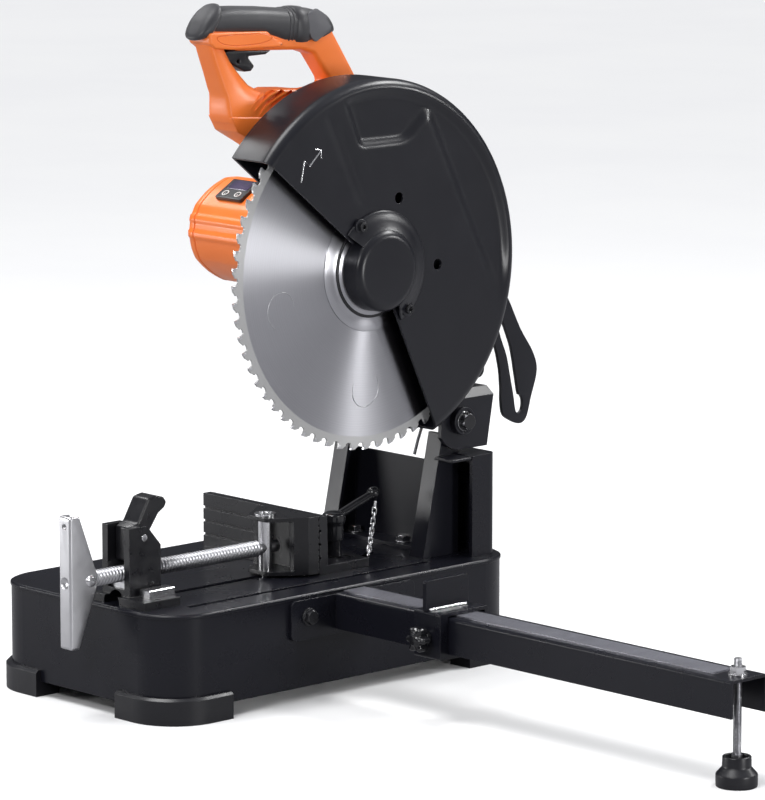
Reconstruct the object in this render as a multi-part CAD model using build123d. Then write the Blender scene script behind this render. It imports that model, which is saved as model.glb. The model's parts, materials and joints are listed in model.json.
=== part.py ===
from build123d import *
from math import acos, cos, degrees, pi, radians, sin, sqrt, tan
import os

# A 355 mm dry-cut chop saw. Millimetres, +Z up, origin on the floor under the middle of the base.
# +X runs out along the support arm, +Y back to the hinge, -Y forward to the operator.

# ---- driving dimensions -------------------------------------------------------------------
BASE_X, BASE_Y = 265.0, 460.0          # plan size of the pressed base
BASE_TOP, BASE_LOW = 105.4, 14.7       # height of the table and of the tray's open edge
BASE_CORNER, SHEET = 47.0, 3.0
KERF_HALF, GUIDE_HALF = 3.5, 4.5       # half widths of the table's slots for the blade and for the jaw's pin
FOOT_PROUD, FOOT_TOP, FOOT_ARM = 6.0, 26.0, 74.0

PIVOT_Y, PIVOT_Z = 183.5, 240.7        # hinge axis of the head, along X
BLADE_X, BLADE_Y, BLADE_Z = 100.0, 56.0, 406.0
BLADE_R, BLADE_THICK, TEETH = 177.5, 2.2, 66
GUARD_R, GUARD_X0, GUARD_X1, GUARD_WALL = 185.0, 62.5, 115.3, 3.0
ARBOR_R = 5.0                          # bolt that holds the blade on the spindle
OPEN_FROM, OPEN_TO = 141.0, 295.0      # sector of the guard that leaves the blade bare, degrees
GUARD_HOLES = ((81.2, 473.9), (132.9, 403.9))
SCREW_RING, COVER_SCREWS = 53.0, (122.0, -51.0)      # hub cover's screws: radius and angles

MODULE_A, MODULE_B = 1.25, 1.75        # rotor to layshaft, and layshaft to spindle
PINION_TEETH, WHEEL_TEETH = 12, 44
ROTOR_UP = 19.0                        # the rotor's axis lies this far above the spindle's
MOTOR_R, MOTOR_X0, MOTOR_X1 = 52.0, -100.0, -2.0
RIB_ANGLES = (163.0, 181.0)            # raised bands along the motor's front, degrees from +Y
PANEL_ANGLE, PANEL_MID = 121.0, -62.0  # control panel: place round and along the motor
PANEL_LONG, PANEL_WIDE, PANEL_DEEP = 38.0, 30.0, 2.8
BUTTON_PLACES = (-9.0, 9.0)

HANDLE_X, HANDLE_HALF = 30.0, 12.0     # mid plane and half width of the handle
HANDLE_WALL, GRIP_HALF = 2.5, 15.0
TRIGGER_Y, TRIGGER_Z = -58.0, 615.0

FENCE_X0, FENCE_X1, FENCE_Y = -95.0, 77.0, 11.0
FENCE_PIVOT = (-70.0, 55.0)
LOCK = (50.0, 55.0)                    # clamping lever's post, on the fence's flange

VISE_X, VISE_Z, SCREW_R, PITCH = 40.0, 133.5, 8.0, 4.0
JAW_PIN_Y = -27.0
CRANK_Y, RIVET_Y, NECK_R = -280.0, -255.0, 6.0
BRACKET_Y0, BRACKET_Y1 = -217.0, -178.0
LEVER_PIN = (-198.0, 169.0)            # hinge of the half nut's release lever, in (Y, Z)

ARM_Y0, ARM_Y1 = -22.5, 25.0           # support channel
ARM_Z0, ARM_Z1 = 67.0, 102.0
ARM_X0, ARM_X1 = 136.5, 655.0
SIDE_BOLTS_Y, SIDE_BOLT_Z = (-57.7, 40.0), 84.0
SLEEVE_X0, SLEEVE_X1 = 257.0, 293.0
LEVEL_X, LEVEL_Y, LEVEL_PITCH = 641.0, 1.25, 1.25    # levelling screw, M8

GAP = 0.3                              # clearance between bodies that are not a fit
RUN = 0.05                             # radial running clearance

ROTOR_Y, ROTOR_Z = BLADE_Y, BLADE_Z + ROTOR_UP
CENTRES_A = MODULE_A * (PINION_TEETH + WHEEL_TEETH) / 2
CENTRES_B = MODULE_B * (PINION_TEETH + WHEEL_TEETH) / 2
LAY_UP = (CENTRES_B**2 - CENTRES_A**2 + ROTOR_UP**2) / (2 * ROTOR_UP)
LAY_Y = BLADE_Y + sqrt(CENTRES_B**2 - LAY_UP**2)
LAY_Z = BLADE_Z + LAY_UP


# ---- helpers ------------------------------------------------------------------------------
def box(x0, x1, y0, y1, z0, z1):
    middle = Pos((x0 + x1) / 2, (y0 + y1) / 2, (z0 + z1) / 2)
    return middle * Box(x1 - x0, y1 - y0, z1 - z0)


def poly(*points):
    return make_face(Polyline(*points, close=True))


def disc(u, v, radius):
    return Pos(u, v) * Circle(radius)


def along_x(sketch, x0, x1):
    """Extrude a sketch drawn in (Y, Z) from x0 to x1."""
    return extrude(Plane.YZ.offset(x0) * sketch, amount=x1 - x0)


def along_y(sketch, y0, y1):
    """Extrude a sketch drawn in (X, Z) from y0 to y1."""
    return extrude(Plane.XZ.offset(-y1) * sketch, amount=y1 - y0)


def along_z(sketch, z0, z1):
    return extrude(Plane.XY.offset(z0) * sketch, amount=z1 - z0)


def rod_x(radius, x0, x1, y, z):
    return along_x(disc(y, z, radius), x0, x1)


def rod_y(radius, y0, y1, x, z):
    return along_y(disc(x, z, radius), y0, y1)


def rod_z(radius, z0, z1, x, y):
    return along_z(disc(x, y, radius), z0, z1)


def tube_x(outer, inner, x0, x1, y, z):
    return rod_x(outer, x0, x1, y, z) - rod_x(inner, x0, x1, y, z)


def group(*shapes):
    """Separate solids of one node."""
    return Compound([solid for shape in shapes for solid in shape.solids()])


def polar(u, v, radius, angle):
    return (u + radius * cos(radians(angle)), v + radius * sin(radians(angle)))


def hex_head(across_corners, height, washer_r, washer, shank_r, shank):
    """A hexagon bolt with its washer, seated on Z = 0 and pointing down."""
    seat = Pos(0, 0, washer / 2) * Cylinder(washer_r, washer)
    head = extrude(Pos(0, 0, washer) * RegularPolygon(across_corners / 2, 6), amount=height)
    crown = Pos(0, 0, washer + height / 2) * Cone(across_corners / 2 + 1.2, across_corners / 2 - 1.0, height)
    stem = Pos(0, 0, -shank / 2) * Cylinder(shank_r, shank)
    return seat + (head & crown) + stem


def involute(angle):
    return tan(angle) - angle


def gear(module, teeth, first_tooth, x0, x1, y, z):
    """Involute spur gear about an X axis; one tooth is centred on first_tooth degrees in (Y, Z)."""
    pitch_r = module * teeth / 2
    base_r = pitch_r * cos(radians(20))
    tip_r, root_r = pitch_r + 0.75 * module, pitch_r - 1.1 * module
    half_pitch = (pi * module / 2 - 0.22 * module) / (2 * pitch_r)
    flank = []
    for step in range(5):
        radius = max(base_r, root_r) + (tip_r - max(base_r, root_r)) * step / 4
        half = half_pitch + involute(radians(20)) - involute(acos(min(1.0, base_r / radius)))
        flank.append((radius, degrees(half)))
    if root_r < base_r:
        flank.insert(0, (root_r, flank[0][1]))
    points = []
    for tooth in range(teeth):
        middle = first_tooth + 360 * tooth / teeth
        points += [polar(y, z, r, middle - half) for r, half in flank]
        points += [polar(y, z, r, middle + half) for r, half in reversed(flank)]
    return along_x(poly(*points), x0, x1)


def wedge(reach):
    """The open sector of the guard, in (Y, Z)."""
    middle = (OPEN_FROM + OPEN_TO) / 2
    corners = [polar(BLADE_Y, BLADE_Z, reach, a) for a in (OPEN_FROM, middle - 38, middle, middle + 38, OPEN_TO)]
    return poly((BLADE_Y, BLADE_Z), *corners)


# ---- base ---------------------------------------------------------------------------------
def base_shell():
    body = along_z(RectangleRounded(BASE_X, BASE_Y, BASE_CORNER), BASE_LOW, BASE_TOP)
    body = fillet(body.faces().sort_by(Axis.Z)[-1].edges(), 2.5)
    hollow = RectangleRounded(BASE_X - 2 * SHEET, BASE_Y - 2 * SHEET, BASE_CORNER - SHEET)
    body -= along_z(hollow, BASE_LOW - 1, BASE_TOP - SHEET)
    through = (BASE_TOP - 10, BASE_TOP + 1)
    body -= box(BLADE_X - KERF_HALF, BLADE_X + KERF_HALF, -179, 135, *through)
    body -= box(VISE_X - GUIDE_HALF, VISE_X + GUIDE_HALF, -150, -16, *through)
    reach = LOCK[0] - FENCE_PIVOT[0]
    arc = CenterArc((*FENCE_PIVOT, 0), reach, -4, 38)
    body -= along_z(SlotArc(arc, 9.4), *through)
    body -= rod_z(5 + RUN, *through, *FENCE_PIVOT)
    for x, y in bracket_bolt_places():
        body -= rod_z(4, *through, x, y)
    for y in SIDE_BOLTS_Y:
        body -= rod_x(4, 120, 140, y, SIDE_BOLT_Z)
    return body


def base_feet():
    outer = RectangleRounded(BASE_X + 2 * FOOT_PROUD, BASE_Y + 2 * FOOT_PROUD, BASE_CORNER + FOOT_PROUD)
    wall = RectangleRounded(BASE_X, BASE_Y, BASE_CORNER)
    inside = RectangleRounded(BASE_X - 44, BASE_Y - 44, BASE_CORNER - 22)
    boot = along_z(outer, 0, FOOT_TOP)
    boot = chamfer(boot.faces().sort_by(Axis.Z)[-1].edges(), 2.5)
    boot -= along_z(wall, BASE_LOW, FOOT_TOP + 1)
    boot -= along_z(inside, -1, BASE_LOW + 1)
    half_x, half_y = BASE_X / 2 - FOOT_ARM, BASE_Y / 2 - FOOT_ARM
    boot -= box(-half_x, half_x, -BASE_Y, BASE_Y, -1, FOOT_TOP + 1)
    boot -= box(-BASE_X, BASE_X, -half_y, half_y, -1, FOOT_TOP + 1)
    return group(boot)


# ---- hinge stand --------------------------------------------------------------------------
CHEEK_LEFT, CHEEK_RIGHT, CHEEK = -63.0, 88.0, 5.0
LEAN = 0.2133                          # the front edge leans back this much per millimetre of height
POST_TOP = 207.5


def front_edge(z):
    return 140.0 + LEAN * (z - BASE_TOP)


def bracket_bolt_places():
    return [(-46.0, 172.0), (26.0, 172.0)]


def hinge_bracket():
    top = PIVOT_Z + 3
    cheek = poly((front_edge(BASE_TOP), BASE_TOP), (188, BASE_TOP), (188, 212), (PIVOT_Y + 17.9, PIVOT_Z - 2),
                 (PIVOT_Y, PIVOT_Z), (front_edge(top), top))
    cheek += disc(PIVOT_Y, PIVOT_Z, 18)
    lip = poly((front_edge(BASE_TOP), BASE_TOP), (front_edge(BASE_TOP) + 4.1, BASE_TOP),
               (front_edge(228) + 4.1, 228), (front_edge(228), 228))
    body = along_x(cheek, CHEEK_LEFT, CHEEK_LEFT + CHEEK) + along_x(cheek, CHEEK_RIGHT - CHEEK, CHEEK_RIGHT)
    body += along_x(lip, CHEEK_LEFT + CHEEK, CHEEK_LEFT + 20) + along_x(lip, CHEEK_RIGHT - 20, CHEEK_RIGHT - CHEEK)
    inner = (CHEEK_LEFT + CHEEK, CHEEK_RIGHT - CHEEK)
    body += box(*inner, 184, 188, BASE_TOP, 194)
    body += box(*inner, 160, 184, BASE_TOP, BASE_TOP + 4)
    for x, y in bracket_bolt_places():
        body -= rod_z(4, BASE_TOP - 1, BASE_TOP + 5, x, y)
    return body - rod_x(13, CHEEK_LEFT - 1, CHEEK_RIGHT + 1, PIVOT_Y, PIVOT_Z)


def pivot_bushes():
    left = tube_x(13, 9 + RUN, CHEEK_LEFT, CHEEK_LEFT + CHEEK, PIVOT_Y, PIVOT_Z)
    right = tube_x(13, 9 + RUN, CHEEK_RIGHT - CHEEK, CHEEK_RIGHT, PIVOT_Y, PIVOT_Z)
    return group(left, right)


def rear_post():
    outline = poly((52, 188.5), (90, 188.5), (90, 180.5), (116, 180.5), (116, 214.5), (52, 214.5))
    outline = fillet(outline.vertices().group_by(Axis.X)[-1].sort_by(Axis.Y)[-1], 10)
    inside = poly((56, 188), (89, 188), (89, 180), (112, 180), (112, 210.5), (56, 210.5))
    inside = fillet(inside.vertices().group_by(Axis.X)[-1].sort_by(Axis.Y)[-1], 6)
    return along_z(outline, BASE_TOP, POST_TOP) - along_z(inside, BASE_TOP - 1, POST_TOP - 4)


def hex_bolts():
    bolt = hex_head(15, 5.5, 8.5, 1.6, 4, 7)
    placed = [Pos(x, y, BASE_TOP + 4) * bolt for x, y in bracket_bolt_places()]
    placed += [Pos(ARM_X0, y, SIDE_BOLT_Z) * Rot(0, 90, 0) * bolt for y in SIDE_BOLTS_Y]
    return group(*placed)


def return_spring():
    """Torsion spring round the pivot shaft: close coils, a leg on the front plate and a leg up to the arm."""
    inner, outer, wire, turns, x0 = 14.3, 17.7, 3.4, 6, 7.0
    profile = [(x0, inner), (x0, outer - 1.2)]
    for turn in range(turns):
        x = x0 + turn * (wire + 0.6)
        profile += [(x + 0.8, outer), (x + wire - 0.8, outer), (x + wire, outer - 1.2), (x + wire + 0.5, outer - 1.2)]
    last = profile[-1][0]
    coils = Pos(0, PIVOT_Y, PIVOT_Z) * revolve(Plane.XY * poly(*profile, (last, inner)), Axis.X)
    tail = rod_between((last - 2, PIVOT_Y + 6, PIVOT_Z - 15), (last - 2, 182, 196), wire / 2)
    hook = rod_between((x0 + 2, PIVOT_Y + 16, PIVOT_Z), (x0 + 2, PIVOT_Y + 16, WEB_TOP - 6), wire / 2)
    return coils + tail + hook


def rod_between(start, end, radius):
    way = Vector(*end) - Vector(*start)
    return extrude(Plane(origin=start, z_dir=way) * Circle(radius), amount=way.length)


# ---- support arm --------------------------------------------------------------------------
def support_bracket():
    plate = along_x(poly((-79.7, 62), (82, 62), (82, 101), (-79.7, 101)), BASE_X / 2, ARM_X0)
    plate = fillet(plate.edges().filter_by(Axis.X), 6)
    for y in SIDE_BOLTS_Y:
        plate -= rod_x(4, 130, 140, y, SIDE_BOLT_Z)
    return plate


def support_channel():
    body = box(ARM_X0, ARM_X1, ARM_Y0, ARM_Y1, ARM_Z0, ARM_Z1)
    body = fillet(body.edges().filter_by(Axis.X).group_by(Axis.Z)[-1], 3)
    body -= box(ARM_X0 - 1, ARM_X1 + 1, ARM_Y0 + SHEET, ARM_Y1 - SHEET, ARM_Z0 - 1, ARM_Z1 - SHEET)
    return body - rod_z(4.5, ARM_Z1 - 5, ARM_Z1 + 1, LEVEL_X, LEVEL_Y)


def channel_strip():
    """Grooved anti-slip strip let into the top of the channel."""
    body = box(ARM_X0, LEVEL_X - 18, -12, 14.5, ARM_Z1, ARM_Z1 + 1.2)
    for groove in range(6):
        y = -9.2 + groove * 4.2
        body -= box(ARM_X0 - 1, LEVEL_X, y, y + 1.4, ARM_Z1 + 0.6, ARM_Z1 + 2)
    return body


def channel_nuts():
    """The nut welded over the channel's end, which carries the levelling screw, and its washer."""
    hole = disc(LEVEL_X, LEVEL_Y, 4 + GAP)
    washer = along_z(disc(LEVEL_X, LEVEL_Y, 9) - hole, ARM_Z1, ARM_Z1 + 1.6)
    nut = along_z(Pos(LEVEL_X, LEVEL_Y) * RegularPolygon(7.5, 6) - hole, ARM_Z1 + 1.6, ARM_Z1 + 8)
    return group(washer, nut)


def stop_sleeve():
    left, right, low, high = -33.0, 29.5, 62.0, 107.0
    body = box(SLEEVE_X0, SLEEVE_X1, left, right, low, high)
    body = fillet(body.edges().filter_by(Axis.X), 2.5)
    body -= box(SLEEVE_X0 - 1, SLEEVE_X1 + 1, ARM_Y0 - GAP, ARM_Y1 + GAP, ARM_Z0 - GAP, ARM_Z1 + 1.2 + GAP)
    return body - rod_y(4 + RUN, left - 1, ARM_Y0, (SLEEVE_X0 + SLEEVE_X1) / 2, 82)


def stop_plate():
    plate = along_x(poly((-33, 107), (22, 107), (22, 136), (-33, 136)), SLEEVE_X0 + 12, SLEEVE_X0 + 17)
    corners = plate.edges().filter_by(Axis.X).group_by(Axis.Z)[-1]
    return fillet(corners, 3)


def star_knob():
    """Six-lobed clamping knob and its threaded stud, which bears on the side of the channel."""
    x, z = (SLEEVE_X0 + SLEEVE_X1) / 2, 82
    outline = disc(x, z, 9.5)
    for lobe in range(6):
        outline += disc(*polar(x, z, 9.0, 60 * lobe), 4.0)
    grip = along_y(outline, -51, -37) + rod_y(7, -37, -33 - GAP, x, z)
    stud = rod_y(4, -33 - GAP, ARM_Y0 - GAP, x, z)
    return group(grip, stud)


def levelling_pad():
    """Turned foot: a drum, a cone and a cup whose socket holds the rod's tail."""
    profile = poly((0, 0), (18.3, 0), (19.3, 1), (19.3, 11.5), (13.5, 18), (13.5, 28), (10.5, 28), (10.5, 20),
                   (5 + RUN, 20), (5 + RUN, 14), (0, 14))
    return Pos(LEVEL_X, LEVEL_Y, 0) * revolve(Plane.XZ * profile, Axis.Z)


def levelling_screw():
    """Threaded rod with a ball-ended tail in the pad; ring grooves stand for the thread."""
    x, y = LEVEL_X, LEVEL_Y
    tail = rod_z(5, 14 + RUN, 29, x, y)
    top, low, pitch = 118.0, 29.0, LEVEL_PITCH
    points = [(0, low)]
    for turn in range(int((top - low) / pitch)):
        z = low + turn * pitch
        points += [(3.4, z), (4.0, z + pitch / 2)]
    points += [(3.4, top), (0, top)]
    thread = Pos(x, y, 0) * revolve(Plane.XZ * poly(*points), Axis.Z)
    return tail + thread


# ---- fence --------------------------------------------------------------------------------
FLANGE_Y, FLANGE_TOP = 77.0, 114.0


def fence():
    wall = poly((FENCE_Y, BASE_TOP + GAP), (FLANGE_Y, BASE_TOP + GAP), (FLANGE_Y, FLANGE_TOP),
                (FENCE_Y + 11, FLANGE_TOP), (FENCE_Y + 10, 163.5), (FENCE_Y, 163.5))
    body = along_x(wall, FENCE_X0, FENCE_X1)
    for groove in range(3):
        z = 121 + groove * 13.5
        body -= box(FENCE_X0 - 1, FENCE_X1 + 1, FENCE_Y - 1, FENCE_Y + 2.2, z, z + 2.6)
    web = poly((FENCE_Y + 10, FLANGE_TOP), (FLANGE_Y - 18, FLANGE_TOP), (FENCE_Y + 10, 150))
    for x in (FENCE_X0, -12):
        body += along_x(web, x, x + 7)
    through = (BASE_TOP - 1, FLANGE_TOP + 1)
    body -= along_z(Pos(56, 68) * SlotOverall(15, 5), *through)
    body -= rod_z(5, *through, *FENCE_PIVOT)
    return body - rod_z(4 + RUN, *through, *LOCK)


def fence_bolts():
    """Pivot bolt, and the square nut that the clamping lever pulls up under the table."""
    bolt = Pos(*FENCE_PIVOT, FLANGE_TOP) * hex_head(18, 6.5, 10, 2, 5, FLANGE_TOP - BASE_TOP + 8)
    x, y = LOCK
    nut = box(x - 8, x + 8, y - 8, y + 8, BASE_TOP - 12, BASE_TOP - SHEET - GAP)
    return group(bolt, nut - rod_z(4 + RUN, 90, 110, x, y))


def lock_lever():
    x, y = LOCK
    post = rod_z(9, FLANGE_TOP + GAP, 152, x, y) + rod_z(4, BASE_TOP - 10, FLANGE_TOP + GAP, x, y)
    post += rod_z(11, 150, 158, x, y)
    start, end = (x, y + 3, 154.5), (x, y + 53, 170.5)
    arm = rod_between(start, end, 4)
    return post + arm + Pos(*end) * Sphere(6.5)


def lock_chain():
    """Small chain of interlocked links from the lever's end to the corner of the flange."""
    first, last, pitch = Vector(58, 104, 159), Vector(73.5, 80, 118), 5.9
    way = (last - first).normalized()
    count = int((last - first).length / pitch)
    link = extrude(SlotOverall(9.4, 6.0) - SlotOverall(6.0, 2.6), amount=0.85, both=True)
    side = way.cross(Vector(0, 0, 1)).normalized()
    links = []
    for i in range(count):
        facing = side if i % 2 else way.cross(side)
        links.append(Plane(origin=first + way * (pitch * i), x_dir=way, z_dir=facing) * link)
    return group(*links)


# ---- vise ---------------------------------------------------------------------------------
def vise_bracket():
    low, high = BASE_TOP, 180.0
    cheek = poly((BRACKET_Y0, low), (BRACKET_Y1, low), (BRACKET_Y1, 160), (-195, high), (BRACKET_Y0, high))
    body = along_x(cheek, VISE_X - 20, VISE_X - 12) + along_x(cheek, VISE_X + 12, VISE_X + 20)
    body += box(VISE_X - 28, VISE_X + 48, BRACKET_Y0 - 6, BRACKET_Y1, low, low + 8)
    body += box(VISE_X - 12, VISE_X + 12, BRACKET_Y0, BRACKET_Y1, low, 120)
    body -= rod_y(11, BRACKET_Y0 - 7, BRACKET_Y1 + 1, VISE_X, low + 2)
    body -= rod_x(3.5 + RUN, VISE_X - 21, VISE_X + 21, *LEVER_PIN)
    return body


def half_nut():
    """Steel half nut between the cheeks, under the screw."""
    block = box(VISE_X - 12, VISE_X + 12, BRACKET_Y0 + 4, BRACKET_Y1 - 4, 120, VISE_Z - 1)
    return block - rod_y(SCREW_R + RUN, BRACKET_Y0, BRACKET_Y1, VISE_X, VISE_Z)


def clamp_bar():
    """Zinc-plated bar that clamps the bracket's flange down."""
    body = box(VISE_X + 24, VISE_X + 38, -208, -176, BASE_TOP + 8, BASE_TOP + 16)
    return chamfer(body.edges().group_by(Axis.Z)[-1], 0.8)


def flip_lever():
    """Release lever of the half nut, pinned between the cheeks; its nose rides over the screw."""
    y, z = LEVER_PIN
    arm = poly((y - 10, z + 9), (y + 2, z + 12), (-184, 205), (-170, 204), (-163, 198), (-172, 189), (-180, 178),
               (y + 11, z), (y + 10, VISE_Z + SCREW_R + 3), (y - 10, VISE_Z + SCREW_R + 3))
    body = along_x(arm, VISE_X - 12 + GAP, VISE_X + 12 - GAP)
    return body + rod_x(3.5, VISE_X - 20, VISE_X + 20, y, z)


def vise_jaw():
    x0, x1, low, high = VISE_X - 38, VISE_X + 38, BASE_TOP + 2.6, 165.0
    body = box(x0, x1, 0, FENCE_Y - 1.5, low, high)
    plan = poly((x0, 1), (x1, 1), (x1, -4), (VISE_X + 14, JAW_PIN_Y - 11), (VISE_X - 14, JAW_PIN_Y - 11), (x0, -4))
    plan = fillet(plan.vertices().group_by(Axis.Y)[0], 8)
    body += along_z(plan, high - 4, high) + along_z(plan, low, low + 4)
    shell = plan - offset(plan, -5)
    body += along_z(shell & Pos(VISE_X, -7) * Rectangle(90, 18), low, high)
    for step in range(9):
        z = low + 4 + step * 6
        body -= box(x0 - 1, x1 + 1, FENCE_Y - 2.5, FENCE_Y, z, z + 2)
    body -= rod_z(7, low - 1, high + 1, VISE_X, JAW_PIN_Y)
    return body


def jaw_pin():
    """Vertical pin of the jaw, with its washers; its tail runs in the table's guide slot."""
    x, y = VISE_X, JAW_PIN_Y
    low = BASE_TOP + 2.6
    pin = rod_z(7, low - 1, 166.5, x, y) + rod_z(4, BASE_TOP - 8, low - 1, x, y)
    pin -= rod_y(SCREW_R - 1.95, y - 8, y + 8, x, VISE_Z)
    top = rod_z(10.5, 165, 167.5, x, y) - rod_z(7, 160, 170, x, y)
    low_washer = rod_z(11, BASE_TOP - SHEET - 3, BASE_TOP - SHEET - GAP, x, y) - rod_z(4, 90, 110, x, y)
    return group(pin, top, low_washer)


def vise_screw():
    """Trapezoidal screw; ring grooves at the thread's pitch stand for the helix."""
    start, end = CRANK_Y + 35, JAW_PIN_Y - 9
    points = [(0, CRANK_Y + 3), (NECK_R, CRANK_Y + 3), (NECK_R, start)]
    for turn in range(int((end - start) / PITCH)):
        y = start + turn * PITCH
        points += [(SCREW_R, y), (SCREW_R, y + 1.5), (SCREW_R - 1.4, y + 2.1), (SCREW_R - 1.4, y + 3.4)]
    points += [(NECK_R, end), (NECK_R, JAW_PIN_Y + 9), (8.5, JAW_PIN_Y + 9), (8.5, JAW_PIN_Y + 14)]
    points += [(0, JAW_PIN_Y + 14)]
    body = Pos(VISE_X, 0, VISE_Z) * revolve(Plane.XY * poly(*points), Axis.Y)
    return body - rod_x(3, VISE_X - 12, VISE_X + 12, RIVET_Y, VISE_Z)


def crank_handle():
    """Pressed channel handle, riveted across the end of the screw."""
    half, back, wide = 64.0, CRANK_Y, 8.5
    side = poly((back, VISE_Z - half), (back + 12, VISE_Z - half), (back + 34, VISE_Z - 4), (back + 34, VISE_Z + 4),
                (back + 12, VISE_Z + half), (back, VISE_Z + half))
    body = along_x(side, VISE_X - wide, VISE_X + wide)
    body -= box(VISE_X - wide + 2, VISE_X + wide - 2, back + 2, back + 40, VISE_Z - 70, VISE_Z + 70)
    body -= rod_y(3, back - 1, back + 3, VISE_X, VISE_Z + half - 10)
    body -= rod_x(3, VISE_X - wide - 1, VISE_X + wide + 1, RIVET_Y, VISE_Z)
    rivet = rod_x(3, VISE_X - wide, VISE_X + wide, RIVET_Y, VISE_Z)
    rivet += rod_x(5.5, VISE_X - wide - 2, VISE_X - wide, RIVET_Y, VISE_Z)
    rivet += rod_x(5.5, VISE_X + wide, VISE_X + wide + 2, RIVET_Y, VISE_Z)
    return group(body, rivet)


# ---- head: arm and guard ------------------------------------------------------------------
ARM_PLATE = 5.0
ARM_LEFT, ARM_RIGHT = CHEEK_LEFT - 1 - ARM_PLATE, CHEEK_RIGHT + 2 + ARM_PLATE
WEB_TOP = 270.0


def arm_bracket():
    """Folded bracket: a plate outside each cheek, joined by a web over the top."""
    sweep = 29.7
    side = poly((221, PIVOT_Z - sweep), (230, 262), (228, WEB_TOP), (184, WEB_TOP), (176, 262), (158.5, 241),
                polar(PIVOT_Y, PIVOT_Z, sweep, 211), polar(PIVOT_Y, PIVOT_Z, sweep, 225),
                polar(PIVOT_Y, PIVOT_Z, sweep, 240), polar(PIVOT_Y, PIVOT_Z, sweep, 255), (PIVOT_Y, PIVOT_Z - sweep))
    solid = along_x(side, ARM_LEFT, ARM_RIGHT)
    outer = poly((ARM_LEFT, 200), (ARM_LEFT, 262), (ARM_LEFT + 8, WEB_TOP), (ARM_RIGHT - 8, WEB_TOP),
                 (ARM_RIGHT, 262), (ARM_RIGHT, 200))
    inner = poly((ARM_LEFT + ARM_PLATE, 190), (ARM_LEFT + ARM_PLATE, 261), (ARM_LEFT + 10, WEB_TOP - 5),
                 (ARM_RIGHT - 10, WEB_TOP - 5), (ARM_RIGHT - ARM_PLATE, 261), (ARM_RIGHT - ARM_PLATE, 190))
    body = (solid & along_y(outer, 100, 260)) - along_y(inner, 100, 260)
    return body - rod_x(9, ARM_LEFT - 1, ARM_RIGHT + 1, PIVOT_Y, PIVOT_Z)


def arm_boom():
    """Box-section boom from the bracket's web up to the back of the gearbox."""
    outline = poly((184, WEB_TOP), (228, WEB_TOP), (254, 272), (258, 306), (236, 346), (168, 432), (128, 470),
                   (104, 474), (104, 352), (150, 302))
    outline = fillet(outline.vertices().sort_by(Axis.X)[-2:], 8)
    core = offset(outline, -4)
    body = along_x(outline, 6, 56) - along_x(core, 10, 52)
    return body - gearbox_outline_solid(0, GUARD_X0, 0)


def pivot_shaft():
    """Hinge pin through both plates, nutted on the left; bolt, washers and spacer on the right."""
    y, z = PIVOT_Y, PIVOT_Z
    pin = rod_x(9, ARM_LEFT - 3, ARM_RIGHT, y, z)
    nut = along_x(Pos(y, z) * RegularPolygon(14, 6), ARM_LEFT - 13, ARM_LEFT - 3)
    spacer = fillet(rod_x(13, ARM_RIGHT, ARM_RIGHT + 6, y, z).edges(), 1)
    head = Pos(ARM_RIGHT + 6, y, z) * Rot(0, 90, 0) * hex_head(17, 6.5, 9.5, 2, 4, 5.5)
    return group(pin + nut, spacer - rod_x(4, ARM_RIGHT - 1, ARM_RIGHT + 7, y, z), head - pin)


def slotted_plate():
    """Plate bolted behind the boom, with a long hooked slot."""
    outline = poly((262, 300), (262, 330), (297.6, 352), (345.3, 272), (345.3, 264), (331.5, 219), (321, 213.7),
                   (300, 224.5), (295.4, 235), (295.3, 252), (292.3, 278), (284, 301), (270, 292))
    slot = poly((290, 322), (294, 326), (308, 297), (317.6, 256), (320.5, 241), (323, 241), (325.4, 232), (321, 224.6),
                (316.5, 226), (311.8, 245), (302.5, 286))
    body = along_x(fillet(outline.vertices(), 3) - fillet(slot.vertices(), 0.8), 36, 40)
    tab = poly((232, 300), (264, 300), (264, 330), (240, 330))
    return body + along_x(tab, 36, 40) - along_x(boom_cut(), 30, 45)


def boom_cut():
    return poly((150, 250), (254, 250), (259, 306), (236, 346), (150, 400))


def blade_guard():
    body = rod_x(GUARD_R, GUARD_X0 + GUARD_WALL, GUARD_X1, BLADE_Y, BLADE_Z)
    body = fillet(body.faces().sort_by(Axis.X)[-1].edges(), 9)
    inner = rod_x(GUARD_R - GUARD_WALL, GUARD_X0, GUARD_X1 - GUARD_WALL, BLADE_Y, BLADE_Z)
    inner = fillet(inner.faces().sort_by(Axis.X)[-1].edges(), 6)
    body -= inner
    body -= along_x(wedge(300), GUARD_X0 - 1, GUARD_X1 + 1)
    body -= rod_x(44, GUARD_X0, GUARD_X1 + 1, BLADE_Y, BLADE_Z)
    for y, z in GUARD_HOLES:
        body -= rod_x(5.5, GUARD_X1 - 5, GUARD_X1 + 1, y, z)
    return body


def guard_back():
    plate = rod_x(GUARD_R, GUARD_X0, GUARD_X0 + GUARD_WALL, BLADE_Y, BLADE_Z)
    plate -= along_x(wedge(300), GUARD_X0 - 1, GUARD_X0 + 5)
    plate += tube_x(34, 27, GUARD_X0, GUARD_X0 + GUARD_WALL, BLADE_Y, BLADE_Z)
    return plate - rod_x(27, GUARD_X0 - 1, GUARD_X0 + 5, BLADE_Y, BLADE_Z)


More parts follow.
